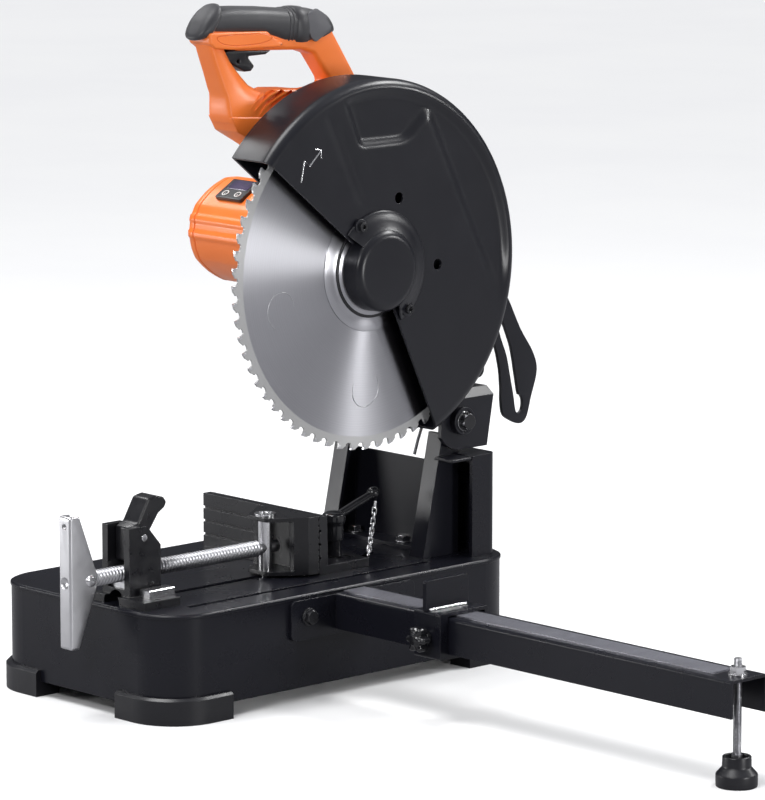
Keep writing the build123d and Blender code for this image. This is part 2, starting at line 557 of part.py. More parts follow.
def hub_cover():
    dome = fillet(rod_x(43, 107.6, 128.5, BLADE_Y, BLADE_Z).faces().sort_by(Axis.X)[-1].edges(), 7)
    flange = rod_x(58, GUARD_X1, GUARD_X1 + 3, BLADE_Y, BLADE_Z)
    flange -= along_x(wedge(300), GUARD_X1 - 1, GUARD_X1 + 5)
    for angle in COVER_SCREWS:
        flange += rod_x(7, GUARD_X1, GUARD_X1 + 4, *polar(BLADE_Y, BLADE_Z, SCREW_RING, angle))
    body = dome + flange - rod_x(40, 100, 125.5, BLADE_Y, BLADE_Z)
    for angle in COVER_SCREWS:
        body -= rod_x(2.5, GUARD_X1 - 1, GUARD_X1 + 6, *polar(BLADE_Y, BLADE_Z, SCREW_RING, angle))
    return body


def cover_screws():
    screws = []
    for angle in COVER_SCREWS:
        y, z = polar(BLADE_Y, BLADE_Z, SCREW_RING, angle)
        head = rod_x(4.5, GUARD_X1 + 4, GUARD_X1 + 8, y, z)
        head -= along_x(Pos(y, z) * RegularPolygon(2.4, 6), GUARD_X1 + 5.5, GUARD_X1 + 9)
        screws.append(head + rod_x(2.5, GUARD_X1, GUARD_X1 + 4, y, z))
    return group(*screws)


# ---- head: gearbox and motor --------------------------------------------------------------
def gearbox_outline(inset):
    circles = [disc(BLADE_Y, BLADE_Z, 47 - inset), disc(LAY_Y, LAY_Z, 35 - inset), disc(ROTOR_Y, ROTOR_Z, 50 - inset)]
    return make_hull([edge for circle in circles for edge in circle.edges()])


def gearbox_outline_solid(x0, x1, inset):
    return along_x(gearbox_outline(inset), x0, x1)


def gearbox_housing():
    body = gearbox_outline_solid(2, GUARD_X0, 0) - gearbox_outline_solid(1, 56, 5)
    body += rod_x(27, 44, GUARD_X0 + GUARD_WALL, BLADE_Y, BLADE_Z)
    body += rod_x(16, 50, 56, LAY_Y, LAY_Z)
    body -= rod_x(21, 43, 70, BLADE_Y, BLADE_Z)
    return body - rod_x(12, 49, 58, LAY_Y, LAY_Z)


def motor_flange():
    """Bearing plate between the motor and the gearbox."""
    body = gearbox_outline_solid(-2, 2, 0) + rod_x(MOTOR_R - 3, -8, -2, ROTOR_Y, ROTOR_Z)
    body -= rod_x(13, -7, 3, ROTOR_Y, ROTOR_Z)
    body -= rod_x(6, -9, 0, ROTOR_Y, ROTOR_Z)
    return body - rod_x(9, -1, 3, LAY_Y, LAY_Z)


def bearings():
    """Ball bearings of the spindle, the layshaft and the rotor, as plain rings."""
    return group(
        tube_x(21, 10, 43, 51, BLADE_Y, BLADE_Z),
        tube_x(21, 10, 54, 62, BLADE_Y, BLADE_Z),
        tube_x(12, 6 + RUN, 49, 57, LAY_Y, LAY_Z),
        tube_x(9, 6 + RUN, -1, 5, LAY_Y, LAY_Z),
        tube_x(13, 5, -6, 1, ROTOR_Y, ROTOR_Z),
        tube_x(11, 5, -109, -102, ROTOR_Y, ROTOR_Z),
    )


def motor_housing():
    """Motor shell with two raised bands along its front and a row of cooling slots below."""
    body = tube_x(MOTOR_R, MOTOR_R - 3, MOTOR_X0, MOTOR_X1, ROTOR_Y, ROTOR_Z)
    band = box(MOTOR_X0, MOTOR_X1, MOTOR_R - 2, MOTOR_R + 1.6, -3.5, 3.5)
    slot = box(-26, -12, MOTOR_R - 6, MOTOR_R + 6, -1.8, 1.8)
    for angle in RIB_ANGLES:
        body += Pos(0, ROTOR_Y, ROTOR_Z) * Rot(angle, 0, 0) * band
    for step in range(8):
        body -= Pos(0, ROTOR_Y, ROTOR_Z) * Rot(-115 - 10 * step, 0, 0) * slot
    return body - panel_seat()


def panel_frame(lift):
    """Local frame of the control panel, lying on the motor, lift millimetres above its skin."""
    middle = polar(ROTOR_Y, ROTOR_Z, MOTOR_R + lift, PANEL_ANGLE)
    out = polar(0, 0, 1, PANEL_ANGLE)
    return Plane(origin=(PANEL_MID, *middle), x_dir=(1, 0, 0), z_dir=(0, *out))


def panel_seat():
    return panel_frame(-PANEL_DEEP) * Pos(0, 0, 5) * Box(PANEL_LONG, PANEL_WIDE, 10)


def display_panel():
    """Black control panel with a raised rim and two button holes."""
    body = panel_frame(-PANEL_DEEP) * Pos(0, 0, 1.7) * Box(PANEL_LONG, PANEL_WIDE, 3.4)
    body -= panel_frame(0.6) * Pos(0, -5.5, 0) * Box(PANEL_LONG - 6, 12, 1.6)
    for x in BUTTON_PLACES:
        body -= panel_frame(0) * Pos(x, 8, 0) * Cylinder(4 + GAP, 3.2)
    return body


def panel_button(x):
    return panel_frame(-1.0) * Pos(x, 8, 1.2) * Cylinder(4, 1.6)


def motor_end_cap():
    body = rod_x(MOTOR_R, -113, MOTOR_X0, ROTOR_Y, ROTOR_Z)
    body = fillet(body.faces().sort_by(Axis.X)[0].edges(), 9)
    body -= rod_x(MOTOR_R - 4, -109.5, MOTOR_X0 + 1, ROTOR_Y, ROTOR_Z)
    body += tube_x(15, 11, -110, -101, ROTOR_Y, ROTOR_Z)
    for row in (-2, -1, 0, 1, 2):
        length = 54 - 8 * abs(row)
        middle = ROTOR_Z + 13 * row
        body -= box(-114, -108, ROTOR_Y - length / 2, ROTOR_Y + length / 2, middle - 2, middle + 2)
    return body


def stator():
    return tube_x(MOTOR_R - 3, 33, -78, -24, ROTOR_Y, ROTOR_Z)


def brush_holders():
    """Two brush holders with their brushes, either side of the commutator."""
    holders = []
    for side in (-1, 1):
        y0, y1 = sorted((ROTOR_Y + side * 14.3, ROTOR_Y + side * 40))
        holders.append(box(-95, -85, y0, y1, ROTOR_Z - 5, ROTOR_Z + 5))
    return group(*holders)


def rotor():
    """Rotor shaft with its pinion, and on it the armature, the commutator and the cooling fan."""
    y, z = ROTOR_Y, ROTOR_Z
    mesh_angle = degrees(acos((LAY_Y - y) / CENTRES_A))
    shaft = rod_x(5, -109, 25, y, z) + gear(MODULE_A, PINION_TEETH, mesh_angle, 8, 24, y, z)
    core = rod_x(32, -76, -26, y, z)
    slot = box(-77, -25, -1, 1, 26, 33)
    for step in range(16):
        core -= Pos(0, y, z) * Rot(22.5 * step, 0, 0) * slot
    commutator = rod_x(14, -96, -84, y, z)
    fan = rod_x(12, -21, -11, y, z)
    vane = box(-20, -12, -1, 1, 10, 43)
    for step in range(9):
        fan += Pos(0, y, z) * Rot(40 * step, 0, 0) * vane
    fan += tube_x(43, 8, -12.5, -11, y, z)
    bore = rod_x(5, -120, 30, y, z)
    return group(shaft, core - bore, commutator - bore, fan - bore)


def layshaft():
    y, z = LAY_Y, LAY_Z
    to_rotor = degrees(acos((ROTOR_Y - y) / CENTRES_A))
    to_rotor = -to_rotor if ROTOR_Z < z else to_rotor
    to_spindle = -degrees(acos((BLADE_Y - y) / CENTRES_B))
    wheel = gear(MODULE_A, WHEEL_TEETH, to_rotor + 180 / WHEEL_TEETH, 10, 22, y, z)
    pinion = gear(MODULE_B, PINION_TEETH, to_spindle, 22, 42, y, z)
    return rod_x(6, -1, 57, y, z) + wheel + pinion


def spindle():
    """Blade spindle with its gear."""
    y, z = BLADE_Y, BLADE_Z
    to_lay = degrees(acos((LAY_Y - y) / CENTRES_B))
    wheel = gear(MODULE_B, WHEEL_TEETH, to_lay + 180 / WHEEL_TEETH, 27, 41, y, z)
    body = wheel + rod_x(10, 26, 93, y, z) + rod_x(12.7, 93, BLADE_X + 3, y, z)
    return body - rod_x(ARBOR_R, 84, BLADE_X + 4, y, z)


def saw_blade():
    """Toothed disc; each tooth has a raked face, a relieved back and a rounded-off gullet."""
    points = []
    step = 360 / TEETH
    for tooth in range(TEETH):
        at = tooth * step
        points += [
            polar(BLADE_Y, BLADE_Z, BLADE_R, at),
            polar(BLADE_Y, BLADE_Z, BLADE_R - 1.0, at + 0.40 * step),
            polar(BLADE_Y, BLADE_Z, BLADE_R - 5.0, at + 0.58 * step),
            polar(BLADE_Y, BLADE_Z, BLADE_R - 7.2, at + 0.74 * step),
            polar(BLADE_Y, BLADE_Z, BLADE_R - 6.4, at + 0.90 * step),
        ]
    body = along_x(poly(*points), BLADE_X - BLADE_THICK / 2, BLADE_X + BLADE_THICK / 2)
    return body - rod_x(12.7, BLADE_X - 5, BLADE_X + 5, BLADE_Y, BLADE_Z)


def clamp_flanges():
    """Inner and outer flange that grip the blade."""
    y, z = BLADE_Y, BLADE_Z
    face = BLADE_THICK / 2
    inner = tube_x(32, 12.7, BLADE_X - face - 5, BLADE_X - face, y, z)
    outer = fillet(rod_x(48, BLADE_X + face, BLADE_X + face + 4, y, z).faces().sort_by(Axis.X)[-1].edges(), 2)
    outer += rod_x(20, BLADE_X + face, BLADE_X + face + 6, y, z)
    outer -= rod_x(12.7, 90, BLADE_X + 3, y, z) + rod_x(ARBOR_R, 90, 120, y, z)
    return group(inner, outer)


def arbor_bolt():
    start = BLADE_X + BLADE_THICK / 2 + 6
    return Pos(start, BLADE_Y, BLADE_Z) * Rot(0, 90, 0) * hex_head(19, 7, 12, 2.5, ARBOR_R, 22)


# ---- head: handle -------------------------------------------------------------------------
def handle_outline():
    outer = poly((-100, 631), (-102, 648), (-91, 659), (40, 651), (57, 642), (64, 630), (92, 588), (106, 562),
                 (110, 500), (96, 473), (22, 473), (0, 500), (-37, 527), (-65, 543), (-76, 560), (-76, 579))
    return fillet(outer.vertices(), 4)


def handle_hole():
    hole = poly((-54, 619), (22, 616), (38, 611), (61, 580), (34, 577), (2, 580), (-30, 587), (-50, 602))
    return fillet(hole.vertices(), 3)


def trigger_slot():
    return box(HANDLE_X - 7.8, HANDLE_X + 7.8, TRIGGER_Y - 15, -10, 596, 634)


def handle_shell(side):
    """One half of the hollow handle: side is -1 for the left shell and +1 for the right."""
    face = handle_outline() - handle_hole()
    core = offset(handle_outline(), -HANDLE_WALL) - offset(handle_hole(), HANDLE_WALL)
    near, far = HANDLE_X, HANDLE_X + side * HANDLE_HALF
    inner_far = far - side * HANDLE_WALL
    body = along_x(face, min(near, far), max(near, far)) - along_x(core, min(near, inner_far), max(near, inner_far))
    body -= trigger_slot()
    body -= rod_x(2 + RUN, HANDLE_X - 30, HANDLE_X + 30, TRIGGER_Y, TRIGGER_Z)
    for step in range(3):
        slant = Plane.YZ.offset(far - 2) * Pos(-42 + 10 * step, 563) * Rot(0, 0, 40) * SlotOverall(25, 2.6)
        body -= extrude(slant, amount=4, both=True)
    return body - gearbox_outline_solid(0, GUARD_X0, -0.1)


def handle_grip():
    """Soft rubber sleeve over the bar of the handle, with a cap at each end."""
    outline = poly((-99, 630), (-106, 644), (-104, 659), (-92, 668), (-80, 665), (38, 656), (47, 657), (56, 652),
                   (70, 631), (44, 616.3), (22, 619), (-9, 622), (-27, 638), (-84, 640), (-86, 630))
    body = along_x(outline, HANDLE_X - GRIP_HALF, HANDLE_X + GRIP_HALF)
    body = chamfer(body.faces().filter_by(lambda f: f.normal_at().Z > 0.9).edges().filter_by(
        lambda e: abs(e.tangent_at(0).X) < 0.1), 6)
    return body - along_x(handle_outline(), HANDLE_X - HANDLE_HALF, HANDLE_X + HANDLE_HALF) - trigger_slot()


def trigger():
    """Finger trigger: a pivoted block with a hooked lever, and its cross pin."""
    y, z = TRIGGER_Y, TRIGGER_Z
    outline = poly((y - 12, z - 2), (y - 12, z + 4), (y - 4, z + 8), (-16, 622), (-16, 617.5), (-38, 616),
                   (-33, 608), (-35, 600), (-43, 598.5), (-50, 604), (y - 4, z - 8))
    body = along_x(fillet(outline.vertices(), 1.2), HANDLE_X - 6.5, HANDLE_X + 6.5)
    return body + rod_x(2, HANDLE_X - HANDLE_HALF, HANDLE_X + HANDLE_HALF, y, z)


def switch_block():
    return box(HANDLE_X - 8, HANDLE_X + 8, -44, -4, 636, 647)


NODES = {
    "base_shell": base_shell,
    "base_feet": base_feet,
    "hinge_bracket": hinge_bracket,
    "pivot_bushes": pivot_bushes,
    "rear_post": rear_post,
    "hex_bolts": hex_bolts,
    "return_spring": return_spring,
    "support_bracket": support_bracket,
    "support_channel": support_channel,
    "channel_strip": channel_strip,
    "channel_nuts": channel_nuts,
    "stop_sleeve": stop_sleeve,
    "stop_plate": stop_plate,
    "star_knob": star_knob,
    "levelling_pad": levelling_pad,
    "levelling_screw": levelling_screw,
    "fence": fence,
    "fence_bolts": fence_bolts,
    "lock_lever": lock_lever,
    "lock_chain": lock_chain,
    "vise_bracket": vise_bracket,
    "half_nut": half_nut,
    "clamp_bar": clamp_bar,
    "flip_lever": flip_lever,
    "vise_jaw": vise_jaw,
    "jaw_pin": jaw_pin,
    "vise_screw": vise_screw,
    "crank_handle": crank_handle,
    "arm_bracket": arm_bracket,
    "arm_boom": arm_boom,
    "pivot_shaft": pivot_shaft,
    "slotted_plate": slotted_plate,
    "blade_guard": blade_guard,
    "guard_back": guard_back,
    "hub_cover": hub_cover,
    "cover_screws": cover_screws,
    "gearbox_housing": gearbox_housing,
    "motor_flange": motor_flange,
    "bearings": bearings,
    "motor_housing": motor_housing,
    "motor_end_cap": motor_end_cap,
    "display_panel": display_panel,
    "power_button": lambda: panel_button(BUTTON_PLACES[0]),
    "speed_button": lambda: panel_button(BUTTON_PLACES[1]),
    "stator": stator,
    "brush_holders": brush_holders,
    "rotor": rotor,
    "layshaft": layshaft,
    "spindle": spindle,
    "saw_blade": saw_blade,
    "clamp_flanges": clamp_flanges,
    "arbor_bolt": arbor_bolt,
    "handle_left": lambda: handle_shell(-1),
    "handle_right": lambda: handle_shell(1),
    "handle_grip": handle_grip,
    "trigger": trigger,
    "switch_block": switch_block,
}

os.makedirs("parts", exist_ok=True)
for name, make in NODES.items():
    export_step(make(), f"parts/{name}.step")
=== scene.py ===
import bmesh
import bpy
import json
from math import cos, hypot, pi, radians, sin
from mathutils import Matrix, Vector


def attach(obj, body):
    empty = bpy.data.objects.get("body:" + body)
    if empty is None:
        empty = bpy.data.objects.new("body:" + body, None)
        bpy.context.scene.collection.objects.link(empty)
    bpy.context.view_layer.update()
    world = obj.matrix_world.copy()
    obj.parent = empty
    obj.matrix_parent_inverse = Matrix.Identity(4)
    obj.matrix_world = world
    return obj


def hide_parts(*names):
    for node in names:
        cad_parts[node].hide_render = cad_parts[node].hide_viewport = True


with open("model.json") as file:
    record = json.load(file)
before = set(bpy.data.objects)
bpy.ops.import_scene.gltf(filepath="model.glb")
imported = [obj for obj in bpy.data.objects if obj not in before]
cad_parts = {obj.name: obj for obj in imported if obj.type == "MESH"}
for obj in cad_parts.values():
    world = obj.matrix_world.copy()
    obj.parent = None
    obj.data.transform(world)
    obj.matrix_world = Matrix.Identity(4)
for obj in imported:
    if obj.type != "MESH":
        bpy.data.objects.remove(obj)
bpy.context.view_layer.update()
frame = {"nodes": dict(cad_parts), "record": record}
nodes = frame["nodes"]
MM = 0.001

# Places in millimetres, in the frame's own axes: +X along the support arm, +Y to the hinge, +Z up.
HUB_Y, HUB_Z = 56.0, 406.0             # blade, guard and hub cover share this centre
HUB = (HUB_Y, HUB_Z)
GUARD_R, GUARD_FACE, GUARD_BACK = 185.0, 115.3, 65.5
GUARD_FROM, GUARD_TO = -65.0, 141.0    # the guard covers this sector, degrees from +Y
MOTOR_Y, MOTOR_Z, MOTOR_R = 56.0, 425.0, 52.0
HANDLE_X = 30.0
BLADE_X, BLADE_R, TEETH = 100.0, 177.5, 66
TOOTH_PITCH = 360 / TEETH
PANEL_X, PANEL_ANGLE = -62.0, 121.0    # the control panel's middle, and where it sits round the motor
BUTTON_ROW = 8.0                       # the buttons' line across the panel
BUTTONS = (("power_button", -9.0), ("speed_button", 9.0))
PIVOT = (183.5, 240.7)                 # hinge pin, (Y, Z)
VISE_X, VISE_Z = 40.0, 133.5           # vise screw
VISE = (VISE_X, VISE_Z)
FOOT = (641.0, 1.25)                   # levelling foot, (X, Y)
SIDE_SHARE = 0.45                      # most of a side that one round corner may take


# ---- geometry helpers ---------------------------------------------------------------------
def polar(u, v, radius, angle):
    return (u + radius * cos(radians(angle)), v + radius * sin(radians(angle)))


def bend(start, corner, end, steps):
    """Points of an arc from start to end that turns at the corner."""
    points = []
    for i in range(steps + 1):
        t = i / steps
        points.append(tuple(start * (1 - t) ** 2 + corner * (2 * t * (1 - t)) + end * t ** 2))
    return points


def rounded(points, radius, steps=5):
    """A closed polygon with each corner turned into an arc, as large as its sides allow."""
    loop = []
    count = len(points)
    radii = radius if isinstance(radius, (list, tuple)) else [radius] * count
    for i, (point, corner) in enumerate(zip(points, radii)):
        here = Vector(point)
        back = Vector(points[i - 1]) - here
        ahead = Vector(points[(i + 1) % count]) - here
        half = back.angle(ahead) / 2
        reach = corner / max(0.05, abs(cos(half) / sin(half)) ** -1)
        reach = min(reach, SIDE_SHARE * back.length, SIDE_SHARE * ahead.length)
        loop += bend(here + back.normalized() * reach, here, here + ahead.normalized() * reach, steps)
    return loop


def curved(points, steps=6, looped=True):
    """A smooth line through given points."""
    line = []
    count = len(points)
    spans = count if looped else count - 1
    for i in range(spans):
        p0, p1, p2, p3 = (Vector(points[(i + k) % count]) for k in (-1, 0, 1, 2))
        if not looped:
            p0 = Vector(points[max(i - 1, 0)])
            p3 = Vector(points[min(i + 2, count - 1)])
        for k in range(steps):
            t = k / steps
            line.append(tuple(0.5 * (2 * p1 + (p2 - p0) * t + (2 * p0 - 5 * p1 + 4 * p2 - p3) * t * t
                                     + (3 * p1 - p0 - 3 * p2 + p3) * t ** 3)))
    if not looped:
        line.append(tuple(points[-1]))
    return line


def area(loop):
    return sum(a[0] * b[1] - b[0] * a[1] for a, b in zip(loop, loop[1:] + loop[:1])) / 2


TURN = {
    "X": Matrix(((0, 0, 1, 0), (1, 0, 0, 0), (0, 1, 0, 0), (0, 0, 0, 1))),
    "Y": Matrix(((1, 0, 0, 0), (0, 0, -1, 0), (0, 1, 0, 0), (0, 0, 0, 1))),
    "Z": Matrix.Identity(4),
}


def slab(loops, low, high, bevel=0.0, axis="X", steps=3):
    """Solid from low to high along an axis: the first loop is its outline, the others are holes.
    Loops are (Y, Z) for X, (X, Z) for Y and (X, Y) for Z. Its outer edges are round."""
    data = bpy.data.curves.new("outline", "CURVE")
    data.dimensions = "2D"
    data.fill_mode = "BOTH"
    for i, loop in enumerate(loops):
        if (area(loop) > 0) == (i > 0):
            loop = loop[::-1]
        spline = data.splines.new("POLY")
        spline.points.add(len(loop) - 1)
        for point, (u, v) in zip(spline.points, loop):
            point.co = (u * MM, v * MM, 0, 1)
        spline.use_cyclic_u = True
    data.extrude = ((high - low) / 2 - bevel) * MM
    data.bevel_depth = bevel * MM
    data.bevel_resolution = steps
    data.offset = -bevel * MM
    helper = bpy.data.objects.new("outline", data)
    bpy.context.scene.collection.objects.link(helper)
    bpy.context.view_layer.update()
    mesh = bpy.data.meshes.new_from_object(helper.evaluated_get(bpy.context.evaluated_depsgraph_get()))
    bpy.data.objects.remove(helper)
    bm = bmesh.new()
    bm.from_mesh(mesh)
    bpy.data.meshes.remove(mesh)
    bmesh.ops.remove_doubles(bm, verts=bm.verts, dist=2e-6)
    middle = (low + high) / 2 * MM * (-1 if axis == "Y" else 1)
    bmesh.ops.translate(bm, verts=bm.verts, vec=(0, 0, middle))
    bmesh.ops.transform(bm, matrix=TURN[axis], verts=bm.verts)
    return closed(bm)


def closed(bm):
    bmesh.ops.recalc_face_normals(bm, faces=bm.faces)
    return bm


def grid(rows, wrap=False, caps=False):
    """Surface through rows of points, each row the same length; wrap joins a row's ends."""
    bm = bmesh.new()
    made = [[bm.verts.new(Vector(p) * MM) for p in row] for row in rows]
    for upper, lower in zip(made, made[1:]):
        width = len(upper)
        for i in range(width if wrap else width - 1):
            j = (i + 1) % width
            bm.faces.new((upper[i], upper[j], lower[j], lower[i]))
    if caps:
        bm.faces.new(made[0])
        bm.faces.new(made[-1][::-1])
    return closed(bm)


def ring(axis, centre, along, radius, steps):
    """Points of a circle about an axis through centre."""
    points = []
    for i in range(steps):
        a = 2 * pi * i / steps
        u, v = radius * cos(a), radius * sin(a)
        if axis == "X":
            points.append((along, centre[0] + u, centre[1] + v))
        elif axis == "Y":
            points.append((centre[0] + u, along, centre[1] + v))
        else:
            points.append((centre[0] + u, centre[1] + v, along))
    return points


def lathe(profile, axis, centre, steps=64):
    """Turned solid from (along, radius) pairs; its ends are capped."""
    rows = [ring(axis, centre, along, radius, steps) for along, radius in profile]
    return grid(rows, wrap=True, caps=True)


def stud(axis, centre, low, high, radius, steps=32):
    """Plain round bar from low to high along an axis."""
    return lathe([(low, radius), (high, radius)], axis, centre, steps)


def soft(profile, bevel, steps=3):
    """Round the corners of an open (along, radius) profile."""
    line = [profile[0]]
    for before, here, after in zip(profile, profile[1:], profile[2:]):
        p, b, a = Vector(here), Vector(before) - Vector(here), Vector(after) - Vector(here)
        reach = min(bevel, SIDE_SHARE * b.length, SIDE_SHARE * a.length)
        line += bend(p + b.normalized() * reach, p, p + a.normalized() * reach, steps)
    return line + [profile[-1]]


def wire(path, radius, sides=10, loop=False):
    """Round bar that follows a path."""
    points = [Vector(p) for p in path]
    rows = []
    side = None
    for i, point in enumerate(points):
        before = points[i - 1] if loop or i else point
        after = points[(i + 1) % len(points)] if loop or i < len(points) - 1 else point
        way = (after - before).normalized()
        if side is None:
            side = way.orthogonal().normalized()
        side = (side - way * side.dot(way)).normalized()
        across = way.cross(side)
        rows.append([point + radius * (side * cos(2 * pi * k / sides) + across * sin(2 * pi * k / sides))
                     for k in range(sides)])
    if loop:
        rows.append(rows[0])
    bm = grid(rows, wrap=True, caps=not loop)
    bmesh.ops.remove_doubles(bm, verts=bm.verts, dist=1e-7)
    return closed(bm)


def thread(axis, centre, low, high, crest, root, pitch, steps=36, per_turn=8):
    """Screw thread as a helical ripple on a rod."""
    rows = []
    count = int((high - low) / pitch * per_turn)
    for row in range(count + 1):
        along = low + (high - low) * row / count
        fade = min(1, (along - low) / pitch, (high - along) / pitch)
        points = []
        for i in range(steps):
            phase = (along / pitch - i / steps) % 1.0
            wave = min(1.0, max(0.0, 1.7 * abs(2 * phase - 1) - 0.35))
            points.append(root + (crest - root) * wave * fade)
        rows.append([ring(axis, centre, along, radius, steps)[i] for i, radius in enumerate(points)])
    return grid(rows, wrap=True, caps=True)


def block(x0, x1, y0, y1, z0, z1, bevel=0.6, steps=2):
    bm = bmesh.new()
    bmesh.ops.create_cube(bm, size=1.0)
    for v in bm.verts:
        v.co = Vector(((x0 + x1) / 2 + v.co.x * (x1 - x0), (y0 + y1) / 2 + v.co.y * (y1 - y0),
                       (z0 + z1) / 2 + v.co.z * (z1 - z0))) * MM
    bmesh.ops.bevel(bm, geom=bm.edges[:], offset=bevel * MM, segments=steps, affect="EDGES")
    return bm


def joined(*parts):
    whole = bmesh.new()
    for part in parts:
        mesh = bpy.data.meshes.new("part")
        part.to_mesh(mesh)
        part.free()
        whole.from_mesh(mesh)
        bpy.data.meshes.remove(mesh)
    return whole


def sphere(axis, centre, along, radius, steps):
    """Ball whose middle lies at along on an axis through centre."""
    profile = []
    for a in range(0, 181, 15):
        profile.append((along - radius * cos(radians(a)), max(0.01, radius * sin(radians(a)))))
    return lathe(profile, axis, centre, steps)


def shown(name, bm, smooth=32):
    """A mesh object from a bmesh, smooth but for its sharper edges."""
    mesh = bpy.data.meshes.new(name)
    bm.to_mesh(mesh)
    bm.free()
    mesh.shade_smooth()
    mesh.set_sharp_from_angle(angle=radians(smooth))
    obj = bpy.data.objects.new(name, mesh)
    bpy.context.scene.collection.objects.link(obj)
    return obj


def applied(obj):
    """The object with its modifiers made real."""
    bpy.context.view_layer.update()
    mesh = bpy.data.meshes.new_from_object(obj.evaluated_get(bpy.context.evaluated_depsgraph_get()))
    obj.modifiers.clear()
    obj.data = mesh
    return obj


def cut(obj, *cutters):
    """Take solids out of an object."""
    tools = []
    for i, bm in enumerate(cutters):
        tool = shown(f"cutter_{i}", bm)
        boolean = obj.modifiers.new("cut", "BOOLEAN")
        boolean.object = tool
        boolean.solver = "EXACT"
        tools.append(tool)
    applied(obj)
    for tool in tools:
        bpy.data.objects.remove(tool)
    return obj


def sheet(name, bm, thick):
    """A surface thickened inwards into sheet metal or plastic."""
    obj = shown(name, bm)
    solid = obj.modifiers.new("sheet", "SOLIDIFY")
    solid.thickness = thick * MM
    solid.offset = -1
    return applied(obj)


def piece(obj, body, slot, stands_for=(), smooth=32, look=None):
    """Dress an object and let it ride its body, in place of the CAD nodes that it stands for."""
    obj.data.materials.clear()
    obj.data.materials.append(look or LOOKS[slot])
    obj.data.shade_smooth()
    obj.data.set_sharp_from_angle(angle=radians(smooth))
    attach(obj, body)
    if stands_for:
        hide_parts(*stands_for)
    return obj


# ---- materials ----------------------------------------------------------------------------
class Look:
    """A procedural surface: colour that varies, rounded and worn edges, roughness and fine relief."""

    def __init__(self, name, colour, metallic=0.0, roughness=0.4):
        self.material = bpy.data.materials.new(name)
        self.material.use_nodes = True
        self.tree = self.material.node_tree
        self.shader = self.tree.nodes["Principled BSDF"]
        self.shader.inputs["Metallic"].default_value = metallic
        self.shader.inputs["Roughness"].default_value = roughness
        self.roughness = roughness
        self.colour = self.rgb(colour)
        self.shader.inputs["Base Color"].default_value = (*colour, 1)
        self.place = self.add("ShaderNodeTexCoord").outputs["Object"]
        self.normal = None

    def add(self, kind, **settings):
        node = self.tree.nodes.new(kind)
        for key, value in settings.items():
            setattr(node, key, value)
        return node

    def join(self, source, target):
        self.tree.links.new(source, target)

    def rgb(self, colour):
        node = self.tree.nodes.new("ShaderNodeRGB")
        node.outputs[0].default_value = (*colour, 1)
        return node.outputs[0]

    def noise(self, scale, detail=3.0):
        node = self.add("ShaderNodeTexNoise")
        node.inputs["Scale"].default_value = scale
        node.inputs["Detail"].default_value = detail
        node.inputs["Roughness"].default_value = 0.55
        self.join(self.place, node.inputs["Vector"])
        return node.outputs["Fac"]

    def ramp(self, source, low, high, out_low=0.0, out_high=1.0):
        node = self.add("ShaderNodeMapRange")
        for key, value in (("From Min", low), ("From Max", high), ("To Min", out_low), ("To Max", out_high)):
            node.inputs[key].default_value = value
        self.join(source, node.inputs["Value"])
        return node.outputs["Result"]

    def maths(self, kind, a, b):
        node = self.add("ShaderNodeMath", operation=kind)
        for i, value in enumerate((a, b)):
            if isinstance(value, (int, float)):
                node.inputs[i].default_value = value
            else:
                self.join(value, node.inputs[i])
        return node.outputs[0]

    def mix(self, amount, a, b):
        node = self.add("ShaderNodeMix", data_type="RGBA")
        self.join(amount, node.inputs["Factor"])
        self.join(a, node.inputs["A"])
        self.join(b, node.inputs["B"])
        return node.outputs["Result"]

    def vary(self, other, scale):
        """Drift from the base colour towards another over broad patches."""
        patches = self.ramp(self.noise(scale), 0.4, 0.7)
        self.colour = self.mix(patches, self.colour, self.rgb(other))
        return self

    def edges(self, radius=0.8, wear=0.0, bare=(0.3, 0.3, 0.3)):
        """Round every sharp edge in the shading, and rub the paint on it towards the bare colour."""
        bevel = self.add("ShaderNodeBevel", samples=4)
        bevel.inputs["Radius"].default_value = radius * MM
        self.normal = bevel.outputs["Normal"]
        if wear:
            wide = self.add("ShaderNodeBevel", samples=4)
            wide.inputs["Radius"].default_value = 1.3 * radius * MM
            dot = self.add("ShaderNodeVectorMath", operation="DOT_PRODUCT")
            self.join(wide.outputs["Normal"], dot.inputs[0])
            self.join(self.add("ShaderNodeNewGeometry").outputs["Normal"], dot.inputs[1])
            edge = self.ramp(dot.outputs["Value"], 0.985, 0.86)
            patch = self.ramp(self.noise(160.0), 0.42, 0.62)
            rubbed = self.maths("MULTIPLY", self.maths("MULTIPLY", edge, patch), wear)
            self.colour = self.mix(rubbed, self.colour, self.rgb(bare))
        return self

    def rough(self, scale, spread):
        """Let the gloss wander about its mean."""
        low, high = self.roughness - spread, self.roughness + spread
        self.join(self.ramp(self.noise(scale), 0.3, 0.7, low, high), self.shader.inputs["Roughness"])
        return self

    def grain(self, scale, height, detail):
        """Fine relief: height in millimetres."""
        bump = self.add("ShaderNodeBump")
        bump.inputs["Strength"].default_value = 1.0
        bump.inputs["Distance"].default_value = height * MM
        self.join(self.noise(scale, detail), bump.inputs["Height"])
        if self.normal is not None:
            self.join(self.normal, bump.inputs["Normal"])
        self.normal = bump.outputs["Normal"]
        return self

    def done(self, **sockets):
        for name, value in sockets.items():
            self.shader.inputs[name.replace("_", " ")].default_value = value
        self.join(self.colour, self.shader.inputs["Base Color"])
        if self.normal is not None:
            self.join(self.normal, self.shader.inputs["Normal"])
        return self.material


